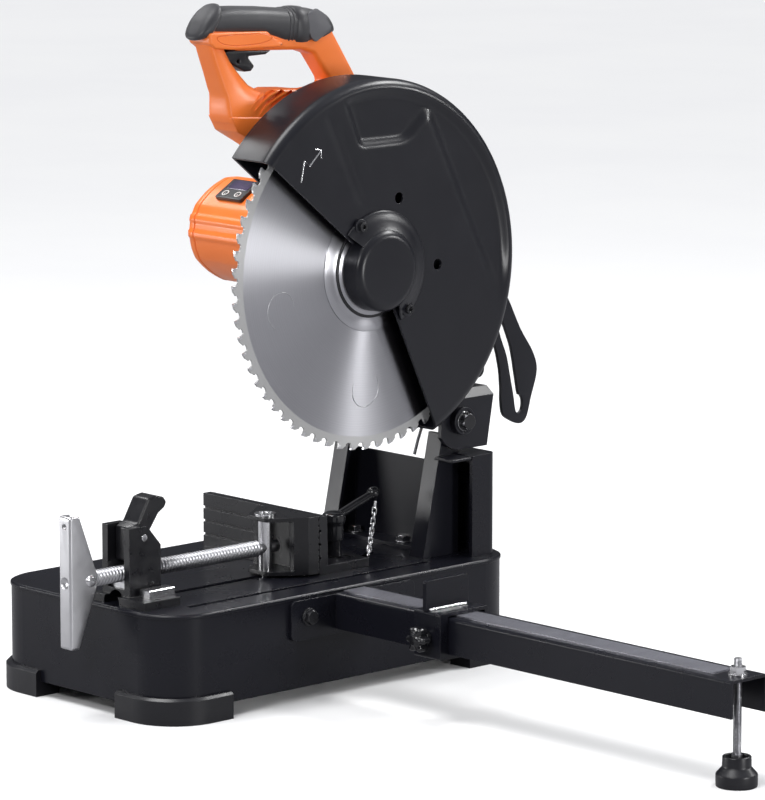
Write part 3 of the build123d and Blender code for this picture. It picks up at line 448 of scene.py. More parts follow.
def painted(name, colour, roughness, grain=900.0, height=0.007, wear=0.18, specular=0.45):
    """Powder-coated steel: faint orange peel, edges where the coat is thin."""
    look = Look(name, colour, roughness=roughness)
    look.vary([c * 1.15 for c in colour], 9.0).edges(0.8, wear, (0.16, 0.16, 0.17))
    look.rough(30.0, 0.02).grain(grain, height, 3.0)
    return look.done(Specular_IOR_Level=specular)


def plated(name, colour, roughness, height=0.0006):
    """Zinc-plated or ground steel."""
    look = Look(name, colour, metallic=1.0, roughness=roughness)
    look.vary([c * 0.92 for c in colour], 40.0).edges(0.4)
    look.rough(70.0, 0.03).grain(1800.0, height, 2.0)
    return look.done()


def moulded(name, colour, roughness, other, grain=1600.0, height=0.010, specular=0.5, sheen=0.0):
    """Injection-moulded plastic or rubber with a spark-eroded texture."""
    look = Look(name, colour, roughness=roughness)
    look.vary(other, 22.0).edges(0.7)
    look.rough(55.0, 0.05).grain(grain, height, 2.0)
    return look.done(Specular_IOR_Level=specular, Sheen_Weight=sheen)


def cast(name, colour, roughness, metallic=0.0):
    """Casting skin: sand texture under the finish, worn bright on its edges."""
    look = Look(name, colour, metallic=metallic, roughness=roughness)
    look.vary([c * 1.3 for c in colour], 35.0).edges(1.0, 0.4, (0.18, 0.18, 0.19))
    look.rough(90.0, 0.08).grain(420.0, 0.10, 5.0)
    return look.done(Specular_IOR_Level=0.5)


def ground_disc(name):
    """Blade steel: turned marks run round the hub, so its highlight spreads into fans; a matt rim."""
    look = Look(name, (0.52, 0.52, 0.55), metallic=1.0, roughness=0.31)
    offset = look.add("ShaderNodeVectorMath", operation="SUBTRACT")
    offset.inputs[1].default_value = (0, HUB_Y * MM, HUB_Z * MM)
    look.join(look.place, offset.inputs[0])
    flat = look.add("ShaderNodeVectorMath", operation="MULTIPLY")
    flat.inputs[1].default_value = (0, 1, 1)
    look.join(offset.outputs[0], flat.inputs[0])
    length = look.add("ShaderNodeVectorMath", operation="LENGTH")
    look.join(flat.outputs[0], length.inputs[0])
    radius = length.outputs["Value"]
    rings = look.add("ShaderNodeTexNoise", noise_dimensions="1D")
    rings.inputs["Scale"].default_value = 1500.0
    rings.inputs["Detail"].default_value = 3.0
    look.join(radius, rings.inputs["W"])
    rim = look.ramp(radius, 0.1640, 0.1645)
    streak = look.ramp(rings.outputs["Fac"], 0.35, 0.65)
    look.colour = look.mix(look.maths("MULTIPLY", streak, 0.30), look.colour, look.rgb((0.36, 0.36, 0.38)))
    look.colour = look.mix(rim, look.colour, look.rgb((0.46, 0.46, 0.46)))
    look.join(look.ramp(rim, 0.0, 1.0, 1.0, 0.25), look.shader.inputs["Metallic"])
    bump = look.add("ShaderNodeBump")
    bump.inputs["Distance"].default_value = 0.002 * MM
    look.join(rings.outputs["Fac"], bump.inputs["Height"])
    look.normal = bump.outputs["Normal"]
    tangent = look.add("ShaderNodeTangent", direction_type="RADIAL", axis="X")
    look.join(tangent.outputs["Tangent"], look.shader.inputs["Tangent"])
    return look.done(Anisotropic=0.95, Anisotropic_Rotation=0.25)


def screen_glass():
    """Dark display window with a faint violet tint."""
    look = Look("screen_glass", (0.030, 0.022, 0.055), roughness=0.12)
    look.vary((0.055, 0.035, 0.10), 60.0).rough(120.0, 0.03)
    return look.done(Coat_Weight=0.6)


LOOKS = {
    "base_black": painted("base_black", (0.0072, 0.0074, 0.0115), 0.28, specular=0.32),
    "stand_black": painted("stand_black", (0.0092, 0.0094, 0.0140), 0.34, 1100.0, 0.008, specular=0.36),
    "guard_black": painted("guard_black", (0.0085, 0.0087, 0.0125), 0.31, 700.0, 0.008, 0.15, 0.42),
    "zinc_steel": plated("zinc_steel", (0.74, 0.74, 0.76), 0.24),
    "bare_steel": plated("bare_steel", (0.66, 0.66, 0.68), 0.32),
    "black_oxide": painted("black_oxide", (0.012, 0.012, 0.014), 0.28, 1500.0, 0.006, 0.6),
    "cast_black": cast("cast_black", (0.0075, 0.0075, 0.0095), 0.32),
    "cast_aluminium": cast("cast_aluminium", (0.42, 0.43, 0.44), 0.45, 1.0),
    "fence_alloy": painted("fence_alloy", (0.009, 0.009, 0.0115), 0.28, 1500.0, 0.006, 0.8),
    "blade_steel": ground_disc("blade_steel"),
    "bronze": plated("bronze", (0.52, 0.33, 0.14), 0.38),
    "orange_plastic": moulded("orange_plastic", (0.98, 0.225, 0.040), 0.34, (0.95, 0.205, 0.034)),
    "black_plastic": moulded("black_plastic", (0.009, 0.009, 0.0115), 0.30, (0.012, 0.012, 0.015)),
    "grip_rubber": moulded("grip_rubber", (0.026, 0.026, 0.030), 0.46, (0.034, 0.034, 0.039),
                           1300.0, 0.018, 0.45, 0.15),
    "foot_rubber": moulded("foot_rubber", (0.0085, 0.0085, 0.0115), 0.36, (0.011, 0.011, 0.014),
                           1100.0, 0.02),
    "white_plastic": moulded("white_plastic", (0.80, 0.80, 0.78), 0.35, (0.74, 0.74, 0.72)),
    "copper_iron": plated("copper_iron", (0.45, 0.22, 0.12), 0.45),
}
GLOSS = moulded("gloss_black", (0.010, 0.010, 0.012), 0.13, (0.014, 0.014, 0.016), 900.0, 0.004)
STRIP_GREY = Look("strip_grey", (0.52, 0.52, 0.57), metallic=0.9, roughness=0.34).rough(60.0, 0.03).done()
for name, node in nodes.items():
    slot_name = next(s["material_slot"] for s in frame["record"]["subparts"] if s["node"] == name)
    for index in range(len(node.material_slots)):
        node.material_slots[index].material = STRIP_GREY if name == "channel_strip" else LOOKS[slot_name]


def make(name, bm, body, slot, stands_for=(), smooth=32, look=None):
    return piece(shown(name, bm), body, slot, stands_for, smooth, look)


# ---- guard --------------------------------------------------------------------------------
def step(value, low, high):
    t = min(1.0, max(0.0, (value - low) / (high - low)))
    return t * t * (3 - 2 * t)


def side_of(point, a, b):
    """Signed distance from the line a-b; positive on its left."""
    run = (b[0] - a[0], b[1] - a[1])
    return (run[0] * (point[1] - a[1]) - run[1] * (point[0] - a[0])) / hypot(*run)


def guard_relief(y, z):
    """How far the guard's pressed face lies below its plane: pockets across the top and at the right."""
    pocket = 4.2
    foot = 529
    left = side_of((y, z), (32, foot), (16, 569))
    slope = side_of((y, z), (89, foot), (122, 556))
    right = side_of((y, z), (183.7, 433), (122.4, 556))
    top_pocket = step(-left, -5, 5) * step(z - foot, -4, 6) * step(slope, -7, 7)
    right_pocket = step(-right, -8, 8) * step(z, 350, 420)
    boss = step(hypot(y - HUB_Y, z - HUB_Z), 62, 76)
    crease = 0.8 * step(-abs(side_of((y, z), (5, 530), (34, 470))), -9, 0) * step(z, 460, 480)
    return boss * (pocket * top_pocket * (1 - right_pocket) + pocket * right_pocket + crease)


def guard_shell():
    """Pressed guard: a face with reliefs, a round corner and a deep rim, in one sheet."""
    corner = 10.0
    radii = [45, 52, 60] + [66 + 2.4 * i for i in range(46)]
    profile = [(r, None) for r in radii if r < GUARD_R - corner]
    for i in range(9):
        a = radians(90 - 11.25 * i)
        profile.append((GUARD_R - corner + corner * cos(a), GUARD_FACE - corner + corner * sin(a)))
    for x in (98, 88, 78, 70, GUARD_BACK):
        profile.append((GUARD_R, x))
    rows = []
    count = 150
    for i in range(count + 1):
        angle = GUARD_FROM + (GUARD_TO - GUARD_FROM) * i / count
        row = []
        for radius, x in profile:
            y, z = polar(*HUB, radius, angle)
            fade = step(GUARD_R - corner - radius, -1, 9)
            depth = guard_relief(y, z) * fade if x is None else 0
            row.append((GUARD_FACE - depth if x is None else x, y, z))
        rows.append(row)
    holes = [stud("X", at, GUARD_FACE - 12, GUARD_FACE + 4, 5.5) for at in ((81.2, 473.9), (132.9, 403.9))]
    return cut(sheet("guard_shell", grid(rows), 2.4), *holes)


def direction_mark():
    """Raised zigzag arrow that shows which way the blade turns."""
    x = GUARD_FACE + 0.2
    path = [(x, -47, 500), (x, -42.5, 520), (x, -36.0, 514.5), (x, -21, 529)]
    head = [(x, -29, 530), (x, -21, 529), (x, -21.5, 521)]
    return joined(wire(path, 0.8, 8), wire(head, 0.8, 8))


piece(guard_shell(), "head", "guard_black", ["blade_guard"], 50)
make("direction_mark", direction_mark(), "head", "zinc_steel")


# ---- hub cover ----------------------------------------------------------------------------
def hub_cup():
    outside = soft([(106.8, 40.5), (124, 40), (128.4, 34), (128.4, 0.01)], 4, 5)
    inside = [(125.4, 0.01), (125.4, 32.5), (122.5, 37.5), (106.8, 37.5)]
    return lathe(inside + outside, "X", HUB, 96)


def hub_skirt():
    """Dished flange of the cover, on the guarded side only."""
    dish = ((39, 124), (43, 123), (48, 120.5), (53, 118.6), (57, 117.9), (58, 117), (58, 115.4))
    rows = []
    gap, count = 2, 72
    span = GUARD_TO - GUARD_FROM - 2 * gap
    for i in range(count + 1):
        angle = GUARD_FROM + gap + span * i / count
        rows.append([(x, *polar(*HUB, radius, angle)) for radius, x in dish])
    return sheet("hub_skirt", grid(rows), 1.6)


def cover_lugs():
    """Ears that the cover's screws go through."""
    lug = soft([(115.5, 0.01), (115.5, 7.5), (119.6, 7.5), (119.6, 0.01)], 0.8)
    return joined(*[lathe(lug, "X", polar(*HUB, 53, angle), 32) for angle in (122.0, -51.0)])


make("hub_cup", hub_cup(), "head", "guard_black", ["hub_cover"])
piece(hub_skirt(), "head", "guard_black", (), 50)
make("cover_lugs", cover_lugs(), "head", "guard_black")


# ---- blade --------------------------------------------------------------------------------
def blade_outline():
    """Teeth with a raked face, a flat land and a round gullet."""
    loop = []
    for tooth in range(TEETH):
        at = tooth * TOOTH_PITCH
        loop.append(polar(*HUB, BLADE_R, at))
        loop.append(polar(*HUB, BLADE_R - 0.8, at + 0.30 * TOOTH_PITCH))
        loop.append(polar(*HUB, BLADE_R - 3.4, at + 0.50 * TOOTH_PITCH))
        for i in range(7):
            a = radians(150 + 30 * i)
            swing = 0.76 * TOOTH_PITCH + 0.235 * TOOTH_PITCH * cos(a)
            loop.append(polar(*HUB, BLADE_R - 4.8 + 2.4 * sin(a), at + swing))
    return loop[::-1]


def expansion_marks():
    """Laser-cut damping slots: shallow question-mark curves on the blade's face."""
    marks = []
    for turn in (30, 102, 174, 246, 318):
        centre = polar(*HUB, 118, turn + 20)
        points = []
        for i in range(15):
            points.append((BLADE_X + 1.12, *polar(*centre, 15 + 0.35 * i, 2.1 * (turn + 8 * i))))
        marks.append(wire(points, 0.32, 6))
    return joined(*marks)


def carbide_tips():
    """Brazed tip on each tooth."""
    tips = []
    corners = ((0, -0.02), (0.3, 0.14), (4.0, 0.13), (4.0, 0))
    for tooth in range(TEETH):
        at = tooth * TOOTH_PITCH
        loop = [polar(*HUB, BLADE_R - depth, at + share * TOOTH_PITCH) for depth, share in corners]
        tips.append(slab([loop], BLADE_X - 1.25, BLADE_X + 1.25))
    return joined(*tips)


make("blade_disc", slab([blade_outline()], BLADE_X - 1.05, BLADE_X + 1.05), "spindle", "blade_steel",
     ["saw_blade"], 30)
make("blade_tips", carbide_tips(), "spindle", "bare_steel")
make("blade_slots", expansion_marks(), "spindle", "bare_steel")


def blade_boss():
    """Turned outer clamp flange with its polished step."""
    profile = [(101.1, 0.01), (101.1, 61), (101.9, 61), (102.7, 55), (103.1, 50), (106.2, 42), (106.2, 0.01)]
    return lathe(soft(profile, 0.8), "X", HUB, 96)


make("blade_boss", blade_boss(), "spindle", "blade_steel", (), 40)


# ---- motor --------------------------------------------------------------------------------
def motor_radius(angle):
    """Round housing with a few long flats and two raised bands down its front."""
    flat = 0.0
    for centre, half in ((121, 26), (90, 10), (235, 24), (305, 20)):
        away = abs((angle - centre + 180) % 360 - 180)
        if away < half:
            chord = MOTOR_R * cos(radians(half)) / cos(radians(away))
            flat = max(flat, MOTOR_R - chord)
    band = 0.0
    for centre in (163, 181):
        away = abs((angle - centre + 180) % 360 - 180)
        band = max(band, 1.6 * (1 - step(away, 3.4, 5.4)))
    return MOTOR_R - 0.45 * flat + band


def motor_shell():
    stations = [(-8, 0), (-97, 0), (-97.6, 0.9), (-98.4, 0.9), (-99, 0)]
    stations += [(-113 + 12 * (1 - sin(radians(a))), 12 * (1 - cos(radians(a)))) for a in range(0, 91, 10)]
    rows = []
    for x, inset in stations:
        row = []
        for i in range(180):
            angle = 2 * i
            row.append((x, *polar(MOTOR_Y, MOTOR_Z, motor_radius(angle) - inset, angle)))
        rows.append(row)
    centre_row = [(-113, *polar(MOTOR_Y, MOTOR_Z, 30, 2 * i)) for i in range(180)]
    return grid(rows + [centre_row], wrap=True, caps=True)


def motor_vents():
    """Cooling slots through the motor's end, and a set round its drive end."""
    cutters = []
    for row in (-2, -1, 0, 1, 2):
        half = 27 - 4 * abs(row)
        z = MOTOR_Z + 13 * row
        cutters.append(block(-116, -108, MOTOR_Y - half, MOTOR_Y + half, z - 2, z + 2, 0.4))
    for i in range(8):
        slot = block(-26, -12, -1.8, 1.8, MOTOR_R - 5, MOTOR_R + 5, 0.4)
        turn = Matrix.Rotation(radians(-115 - 10 * i), 4, "X")
        place = Matrix.Translation((0, MOTOR_Y * MM, MOTOR_Z * MM)) @ turn
        bmesh.ops.transform(slot, matrix=place, verts=slot.verts)
        cutters.append(slot)
    return cutters


piece(cut(shown("motor_shell", motor_shell()), *motor_vents()), "head", "orange_plastic",
      ["motor_housing", "motor_end_cap"], 40)


def panel_place(across):
    """A point of the control panel's middle line, this far round from its centre."""
    out, side = radians(PANEL_ANGLE), radians(PANEL_ANGLE + 90)
    centre = (MOTOR_Y + MOTOR_R * cos(out), MOTOR_Z + MOTOR_R * sin(out))
    return Vector((PANEL_X, centre[0] + across * cos(side), centre[1] + across * sin(side)))


def tilted(bm):
    """Lay a piece drawn flat, with X along the motor and Y across it, on the control panel."""
    ahead = panel_place(1) - panel_place(0)
    up = Vector((0, cos(radians(PANEL_ANGLE)), sin(radians(PANEL_ANGLE))))
    turn = Matrix((Vector((1, 0, 0)), ahead, up)).transposed().to_4x4()
    bmesh.ops.transform(bm, matrix=Matrix.Translation(panel_place(0) * MM) @ turn, verts=bm.verts)
    return bm


def on_panel(loops, low, high, bevel):
    """Flat piece from low to high above the panel's place."""
    return tilted(slab(loops, low, high, bevel, "Z"))


def box_loop(x0, x1, y0, y1, radius):
    return rounded([(x0, y0), (x1, y0), (x1, y1), (x0, y1)], radius)


def button_circle(along, radius):
    return [polar(along, BUTTON_ROW, radius, 12 * i) for i in range(30)]


def panel_frame():
    """Frame of the control panel with a well for each button to sink into."""
    frame_plate = shown("panel_frame", on_panel([box_loop(-19, 19, -15, 15, 2)], -3, 0.9, 0.5))
    wells = [on_panel([button_circle(along, 4.2)], -2.4, 2.0, 0.0) for _, along in BUTTONS]
    return cut(frame_plate, *wells)


piece(panel_frame(), "head", "black_plastic", ["display_panel"])
make("panel_screen", on_panel([box_loop(-14, 15, -13, 1, 1)], 0.9, 1.3, 0.15), "head", "black_plastic",
     look=screen_glass())
for name, along in BUTTONS:
    rim = [button_circle(along, 4.0), button_circle(along, 2.9)]
    symbol = box_loop(along - 0.4, along + 0.4, 7.6, 10.0, 0.2)
    make(name + "_ring", on_panel(rim, 0.9, 1.7, 0.2), name, "white_plastic", [name])
    make(name + "_cap", on_panel([button_circle(along, 2.6)], 0.6, 1.3, 0.2), name, "black_plastic")
    make(name + "_bar", on_panel([symbol], 1.25, 1.5, 0.0), name, "white_plastic")


# ---- handle -------------------------------------------------------------------------------
HANDLE_OUTER = [(-100, 631), (-102, 648), (-91, 658), (40, 650), (57, 642), (64, 630), (92, 588), (106, 562),
                (110, 500), (96, 473), (22, 473), (0, 500), (-37, 527), (-65, 543), (-76, 560), (-76, 579)]


def oval(swing, power):
    """Bend a sine or cosine towards a square: the higher the power, the squarer."""
    return abs(swing) ** (2 / power) * (1 if swing > 0 else -1)


def vent_cutters(low, high):
    """Curved louvres that climb from the root's ledge and turn toward the guard."""
    cutters = []
    for i in range(3):
        path = [(-51 + 9 * i, 557 - i), (-41 + 9.5 * i, 567 - i), (-28 + 11 * i, 575.5 - 1.5 * i),
                (-18 + 12 * i, 580.5 - 1.5 * i)]
        centre = curved(path, 6, looped=False)
        upper = [(y - 1.7, z + 1.5) for y, z in centre]
        lower = [(y + 1.7, z - 1.5) for y, z in centre[::-1]]
        cutters.append(slab([upper + lower], low, high))
    return cutters


def trigger_slot():
    """Room for the trigger to swing up into the handle."""
    return block(HANDLE_X - 6.9, HANDLE_X + 6.9, -75, -11, 590, 633)


def handle_body():
    """Bar, rear leg and foot of the handle as one skin; the round front leg is its own piece."""
    hole = [(-86, 622), (22, 616), (38, 611), (61, 580), (34, 577), (2, 579), (-20, 574), (-64, 560),
            (-68, 580)]
    loops = [rounded(HANDLE_OUTER, 8, 8), rounded(hole, 6, 8)]
    body = shown("handle_body", slab(loops, HANDLE_X - 12, HANDLE_X + 12, 4.5, steps=6))
    cutaway = slab([[(-110, 633), (-60, 633), (-60, 552), (-110, 552)]], 0, 60)
    seam = slab([[(66, 640), (67.2, 640.6), (92, 589), (91, 588)]], HANDLE_X - 0.3, HANDLE_X + 0.3)
    return cut(body, cutaway, seam, trigger_slot())


def leg_section(y, z, up, down, wide, steps=64):
    """Level section of the front leg: square toward the front, round toward the hole."""
    row = []
    for i in range(steps):
        c, v = cos(2 * pi * i / steps), sin(2 * pi * i / steps)
        power = 2.1 if v > 0 else 5.0
        along = (up if v > 0 else down) * oval(v, power)
        row.append((HANDLE_X + wide * oval(c, power), y + along, z))
    return row


def front_leg():
    """Front leg, which flares into the foot; the mould line runs down the inside of the hole."""
    sections = [(-93, 641, 24, 8.5, 12.2), (-91, 632, 20, 7.0, 12.2), (-88, 622, 16.5, 6.3, 12.3),
                (-84, 611, 19.5, 6.2, 12.4), (-80.5, 602, 24, 6.1, 12.5), (-77.5, 594, 29, 6.0, 12.8),
                (-74.5, 586, 34.5, 6.0, 13.2), (-71.5, 580, 44, 6.0, 13.8), (-70.5, 575, 58, 6.0, 14.6),
                (-70, 568, 74, 6.0, 15.4), (-69.5, 561, 84, 6.0, 16.0), (-68.5, 556, 90, 6.0, 16.4),
                (-66.5, 552, 92, 6.0, 16.5)]
    leg = shown("front_leg", grid([leg_section(*one) for one in sections], wrap=True, caps=True))
    line = slab([[(-66, 625), (-66, 560), (20, 560), (20, 600)]], HANDLE_X - 0.25, HANDLE_X + 0.25)
    return cut(leg, line)


def handle_root():
    """Wider foot of the handle, with a ledge along its top."""
    corners = [(-75, 559), (-66, 543.5), (-37, 527.5), (0, 500.5), (23, 473.5), (92, 473.5), (108, 500),
               (100, 553), (60, 556), (-30, 555)]
    loop = rounded(corners, [1.5] + 8 * [5] + [2], 6)
    return slab([loop], 13, 47, 1.6, steps=4)


def handle_cheek():
    """Flat beside the leg's foot, which carries the louvres."""
    corners = [(-57, 553), (-50, 565), (-33, 577), (-14, 581), (8, 579.5), (60, 573), (90, 556), (60, 548),
               (-40, 548)]
    cheek = shown("handle_cheek", slab([rounded(corners, 7, 6)], 14.2, 45.8, 3.4, steps=5))
    return cut(cheek, *vent_cutters(40.5, 47), *vent_cutters(13, 19.5))


def handle_panel():
    """Raised side panel under the grip, with an inset leaf line."""
    corners = [(-99, 630), (-100, 640.5), (-76, 639.8), (-26, 637.5), (-16, 630), (-5, 624.3), (-10, 621),
               (-69, 622.5), (-92, 625)]
    panel = shown("handle_panel", slab([rounded(corners, 3, 6)], 14.2, 45.8, 2.0, steps=4))
    leaf = curved([(-90, 636.5), (-60, 637), (-30, 635.5), (-20, 631), (-34, 626.5), (-64, 626), (-84, 629)])
    inner = curved([(-89, 635.9), (-60, 636.4), (-30.3, 634.9), (-21.2, 631), (-34, 627.1), (-64, 626.6),
                    (-83.6, 629.5)])
    lines = [slab([leaf, inner], low, high) for low, high in ((45.2, 47), (13, 14.8))]
    return cut(panel, trigger_slot(), *lines)


def loft(stations, power=2.8, steps=56):
    """Skin through oval sections (y, z, lean, up, down, half width); lean is in degrees from upright."""
    rows = []
    for y, z, lean, up, down, wide in stations:
        row = []
        for i in range(steps):
            c, v = cos(2 * pi * i / steps), sin(2 * pi * i / steps)
            across = wide * oval(c, power)
            rise = (up if v > 0 else down) * oval(v, power)
            row.append((HANDLE_X + across, y - rise * sin(radians(lean)), z + rise * cos(radians(lean))))
        rows.append(row)
    return grid(rows, wrap=True, caps=True)


def grip_bar():
    """Rubber sleeve over the handle's bar; it drops behind the side panel."""
    return loft([(-91, 648.6, -30, 15.5, 14, 13.6), (-76, 648, -16, 16.2, 12, 14.6),
                 (-60, 647.5, -6, 15.6, 12, 14.9), (-30, 645.5, -4, 15.4, 12.5, 15.1),
                 (-12, 643.5, -4, 15.4, 17, 15.2), (0, 642, -3, 15.6, 20.5, 15.3),
                 (20, 640.4, 0, 16.4, 20.5, 15.4), (36, 639, 4, 16, 20, 14)], 2.4)


def front_cap():
    """Cap moulded over the sleeve's front end, its face slanting back and its rim proud of the sleeve."""
    return loft([(-104.5, 646.6, -33, 5, 8, 6), (-104, 646.8, -33, 10, 12, 10),
                 (-102, 647.2, -33, 15, 15.5, 13), (-99, 647.8, -33, 18.8, 17.5, 14.8),
                 (-94.5, 648.4, -31, 20.8, 18, 15.8), (-90.5, 648.8, -30, 20.6, 17, 15.9),
                 (-88.8, 649, -30, 19, 16, 15.3), (-88.2, 649, -30, 15, 13, 12)], 2.5)


def rear_collar():
    """Collar and slanting end of the sleeve."""
    return loft([(12.5, 640.6, 0, 16.4, 19, 15.2), (13.5, 640.5, 0, 18, 20.6, 16.1),
                 (21, 640, 2, 18.4, 21, 16.4), (27, 639.6, 4, 18.2, 20.6, 16.2),
                 (29, 639.4, 5, 17.4, 20, 15.2), (38, 638.8, 10, 17, 18.8, 14.8),
                 (47, 638.6, 18, 16, 17.2, 14.6), (54, 639.2, 26, 14.4, 15.6, 14),
                 (59.5, 640.4, 33, 12, 13, 12.8), (60, 640.6, 33, 10, 11, 11)], 2.6)


def rear_plates():
    """Flat light plates let into both sides of the sleeve's end."""
    corners = [(25, 645), (29, 652.5), (38, 655.5), (47, 650.5), (58.5, 634.5), (36.5, 622.5), (31, 627.5),
               (26, 637)]
    loop = rounded(corners, 4, 6)
    return joined(*[slab([loop], low, high, 0.8) for low, high in ((43, 45.6), (14.4, 17))])


def grip_grooves():
    """Two fine steps before the rear collar."""
    parts = []
    for y in (3.5, 8):
        parts.append(loft([(y, 641.6, -2, 15.7, 20.2, 15.3), (y + 0.5, 641.5, -2, 16.5, 21, 15.8),
                           (y + 2.0, 641.4, -2, 16.5, 21, 15.8),
                           (y + 2.5, 641.3, -2, 15.7, 20.2, 15.3)], 2.4))
    return joined(*parts)


piece(handle_body(), "head", "orange_plastic", ["handle_left", "handle_right"], 40)
make("handle_root", handle_root(), "head", "orange_plastic", (), 40)
piece(front_leg(), "head", "orange_plastic", (), 50)
piece(handle_cheek(), "head", "orange_plastic", (), 40)
piece(handle_panel(), "head", "orange_plastic", (), 40)
make("grip_bar", grip_bar(), "head", "grip_rubber", ["handle_grip"], 60)
make("front_cap", front_cap(), "head", "grip_rubber", (), 60)
make("rear_collar", rear_collar(), "head", "grip_rubber", (), 60)
make("rear_plates", rear_plates(), "head", "grip_rubber", (), 40,
     moulded("inset_grey", (0.11, 0.11, 0.12), 0.42, (0.09, 0.09, 0.10)))
make("grip_grooves", grip_grooves(), "head", "grip_rubber", (), 60)


def trigger_blade():
    """Finger trigger: a block in the handle and a hooked lever under it."""
    corners = [(-74, 612), (-74, 619.5), (-64, 622), (-14.5, 618.5), (-14.5, 617), (-20, 614.2),
               (-41.5, 613.9), (-42.3, 612.2), (-34.3, 603.8), (-39.1, 599.4), (-47.1, 599.3),
               (-56.7, 604.2), (-66.2, 609.7)]
    loop = rounded(corners, [1, 2, 2, 1, 1, 2, 3, 3, 3, 2, 3, 4, 3])
    hole = [polar(-55.4, 609.9, 1.6, 20 * i) for i in range(18)]
    return slab([loop, hole], HANDLE_X - 6.3, HANDLE_X + 6.3, 1.4)


make("trigger_blade", trigger_blade(), "trigger", "black_plastic", ["trigger"], 40)


# ---- arm and stand ------------------------------------------------------------------------
def hooked_plate():
    """Flat plate behind the boom, with its long hooked slot."""
    outline = [(262, 300), (262, 330), (285, 344), (300, 350), (322, 312), (340, 286), (346, 266),
               (338, 240), (331, 219), (321, 213.7), (307, 219), (298, 226), (295.3, 240), (295, 256),
               (292, 278), (284, 301), (272, 296)]
    slot = [(290, 321), (294, 326), (304, 306), (310, 290), (316, 262), (319.6, 245), (322.5, 243),
            (325.6, 237), (324.6, 228), (320, 224.5), (315.6, 228), (312.4, 244.7), (307.4, 266),
            (302.5, 286), (294, 306)]
    tab = rounded([(232, 300), (266, 300), (266, 330), (240, 330)], 2)
    return joined(slab([curved(outline, 5), curved(slot, 5)], 36, 40, 0.5), slab([tab], 36, 40, 0.3))


make("hooked_plate", hooked_plate(), "head", "stand_black", ["slotted_plate"], 40)


def coil_spring():
    """Torsion spring round the hinge pin."""
    start, end = 7.0, 30.0
    turns, per_turn, radius = 6, 24, 16.0
    y, z = PIVOT
    path = [(start, 199.5, 263)]
    for i in range(turns * per_turn + 1):
        a = 2 * pi * i / per_turn
        along = start + (end - start) * i / (turns * per_turn)
        path.append((along, y + radius * cos(a), z + radius * sin(a)))
    tail = [(end, 195, 228), (end, 188, 212), (end, 183, 197.5)]
    return wire(path + tail, 1.7, 10)


make("coil_spring", coil_spring(), "base", "zinc_steel", ["return_spring"], 40)


# ---- vise, lever, chain and foot ----------------------------------------------------------
def crank_channel():
    """Pressed channel crank with bent corners, a pinch at its middle and a hole near one end."""
    x0, x1, back, z = VISE_X - 8.5, VISE_X + 8.5, -280, VISE_Z
    corners = [(back, z - 64), (back + 12, z - 64), (back + 34, z - 5), (back + 34, z + 5),
               (back + 12, z + 64), (back, z + 64)]
    side = rounded(corners, [3, 3, 5, 5, 3, 3], 6)
    crank = shown("crank_channel", slab([side], x0, x1, 2.4, steps=4))
    hollow = block(x0 + 1.8, x1 - 1.8, back + 3.6, back + 50, z - 70, z + 70, 0.8)
    hole = stud("Y", (VISE_X, z + 54), back - 2, back + 4, 3, 24)
    pinch = sphere("Y", VISE, -285.4, 8, 32)
    return cut(crank, hollow, pinch, hole)


def crank_rivet():
    """Rivet across the channel that joins it to the screw."""
    ends = soft([(29.3, 0.01), (29.3, 4.6), (31.6, 6), (48.4, 6), (50.7, 4.6), (50.7, 0.01)], 0.5)
    return lathe(ends, "X", (-255, VISE_Z), 32)


piece(crank_channel(), "crank", "bare_steel", ["crank_handle"], 40)
make("crank_rivet", crank_rivet(), "crank", "zinc_steel", (), 40)
THREAD_STEEL = Look("thread_steel", (0.46, 0.46, 0.48), 1.0, 0.34).rough(90.0, 0.03).done()
make("vise_thread", joined(thread("Y", VISE, -247, -35, 8.0, 6.3, 4.0), stud("Y", VISE, -277, -247, 6),
                           stud("Y", VISE, -35, -13, 6)),
     "crank", "zinc_steel", ["vise_screw"], 50, THREAD_STEEL)
make("foot_thread", joined(thread("Z", FOOT, 29, 117.5, 4.0, 3.3, 1.25, 20, 6),
                           stud("Z", FOOT, 14.2, 29, 5, 24)),
     "level_screw", "zinc_steel", ["levelling_screw"], 50, THREAD_STEEL)


def foot_pad():
    """Moulded pad with a socket for the screw's end."""
    profile = [(0, 0.01), (0, 19.0), (11.5, 19.2), (18, 13.4), (28, 13.2), (28, 10.5), (20, 9.5), (20, 0.01)]
    return lathe(soft(profile, 1.2), "Z", FOOT, 72)


make("foot_pad", foot_pad(), "level_pad", "foot_rubber", ["levelling_pad"], 40)


def release_lever():
    """Hooked release lever, cast with round edges."""
    corners = [(-208, 178), (-199, 182), (-186, 204), (-176, 206), (-166, 203), (-162.5, 198), (-165, 193),
               (-173, 188), (-180, 178), (-187, 169), (-188, 145), (-208, 145)]
    loop = rounded(corners, [3, 6, 5, 3, 3, 3, 2, 8, 8, 6, 2, 2])
    return slab([loop], 28.4, 51.6, 2.2, steps=4)


def lever_pin():
    """Pin that the release lever swings on."""
    return lathe(soft([(20, 0.01), (20, 3.5), (60, 3.5), (60, 0.01)], 0.5), "X", (-198, 169), 24)


make("release_lever", release_lever(), "nut_lever", "cast_black", ["flip_lever"], 40)
make("release_pin", lever_pin(), "nut_lever", "zinc_steel", (), 40)


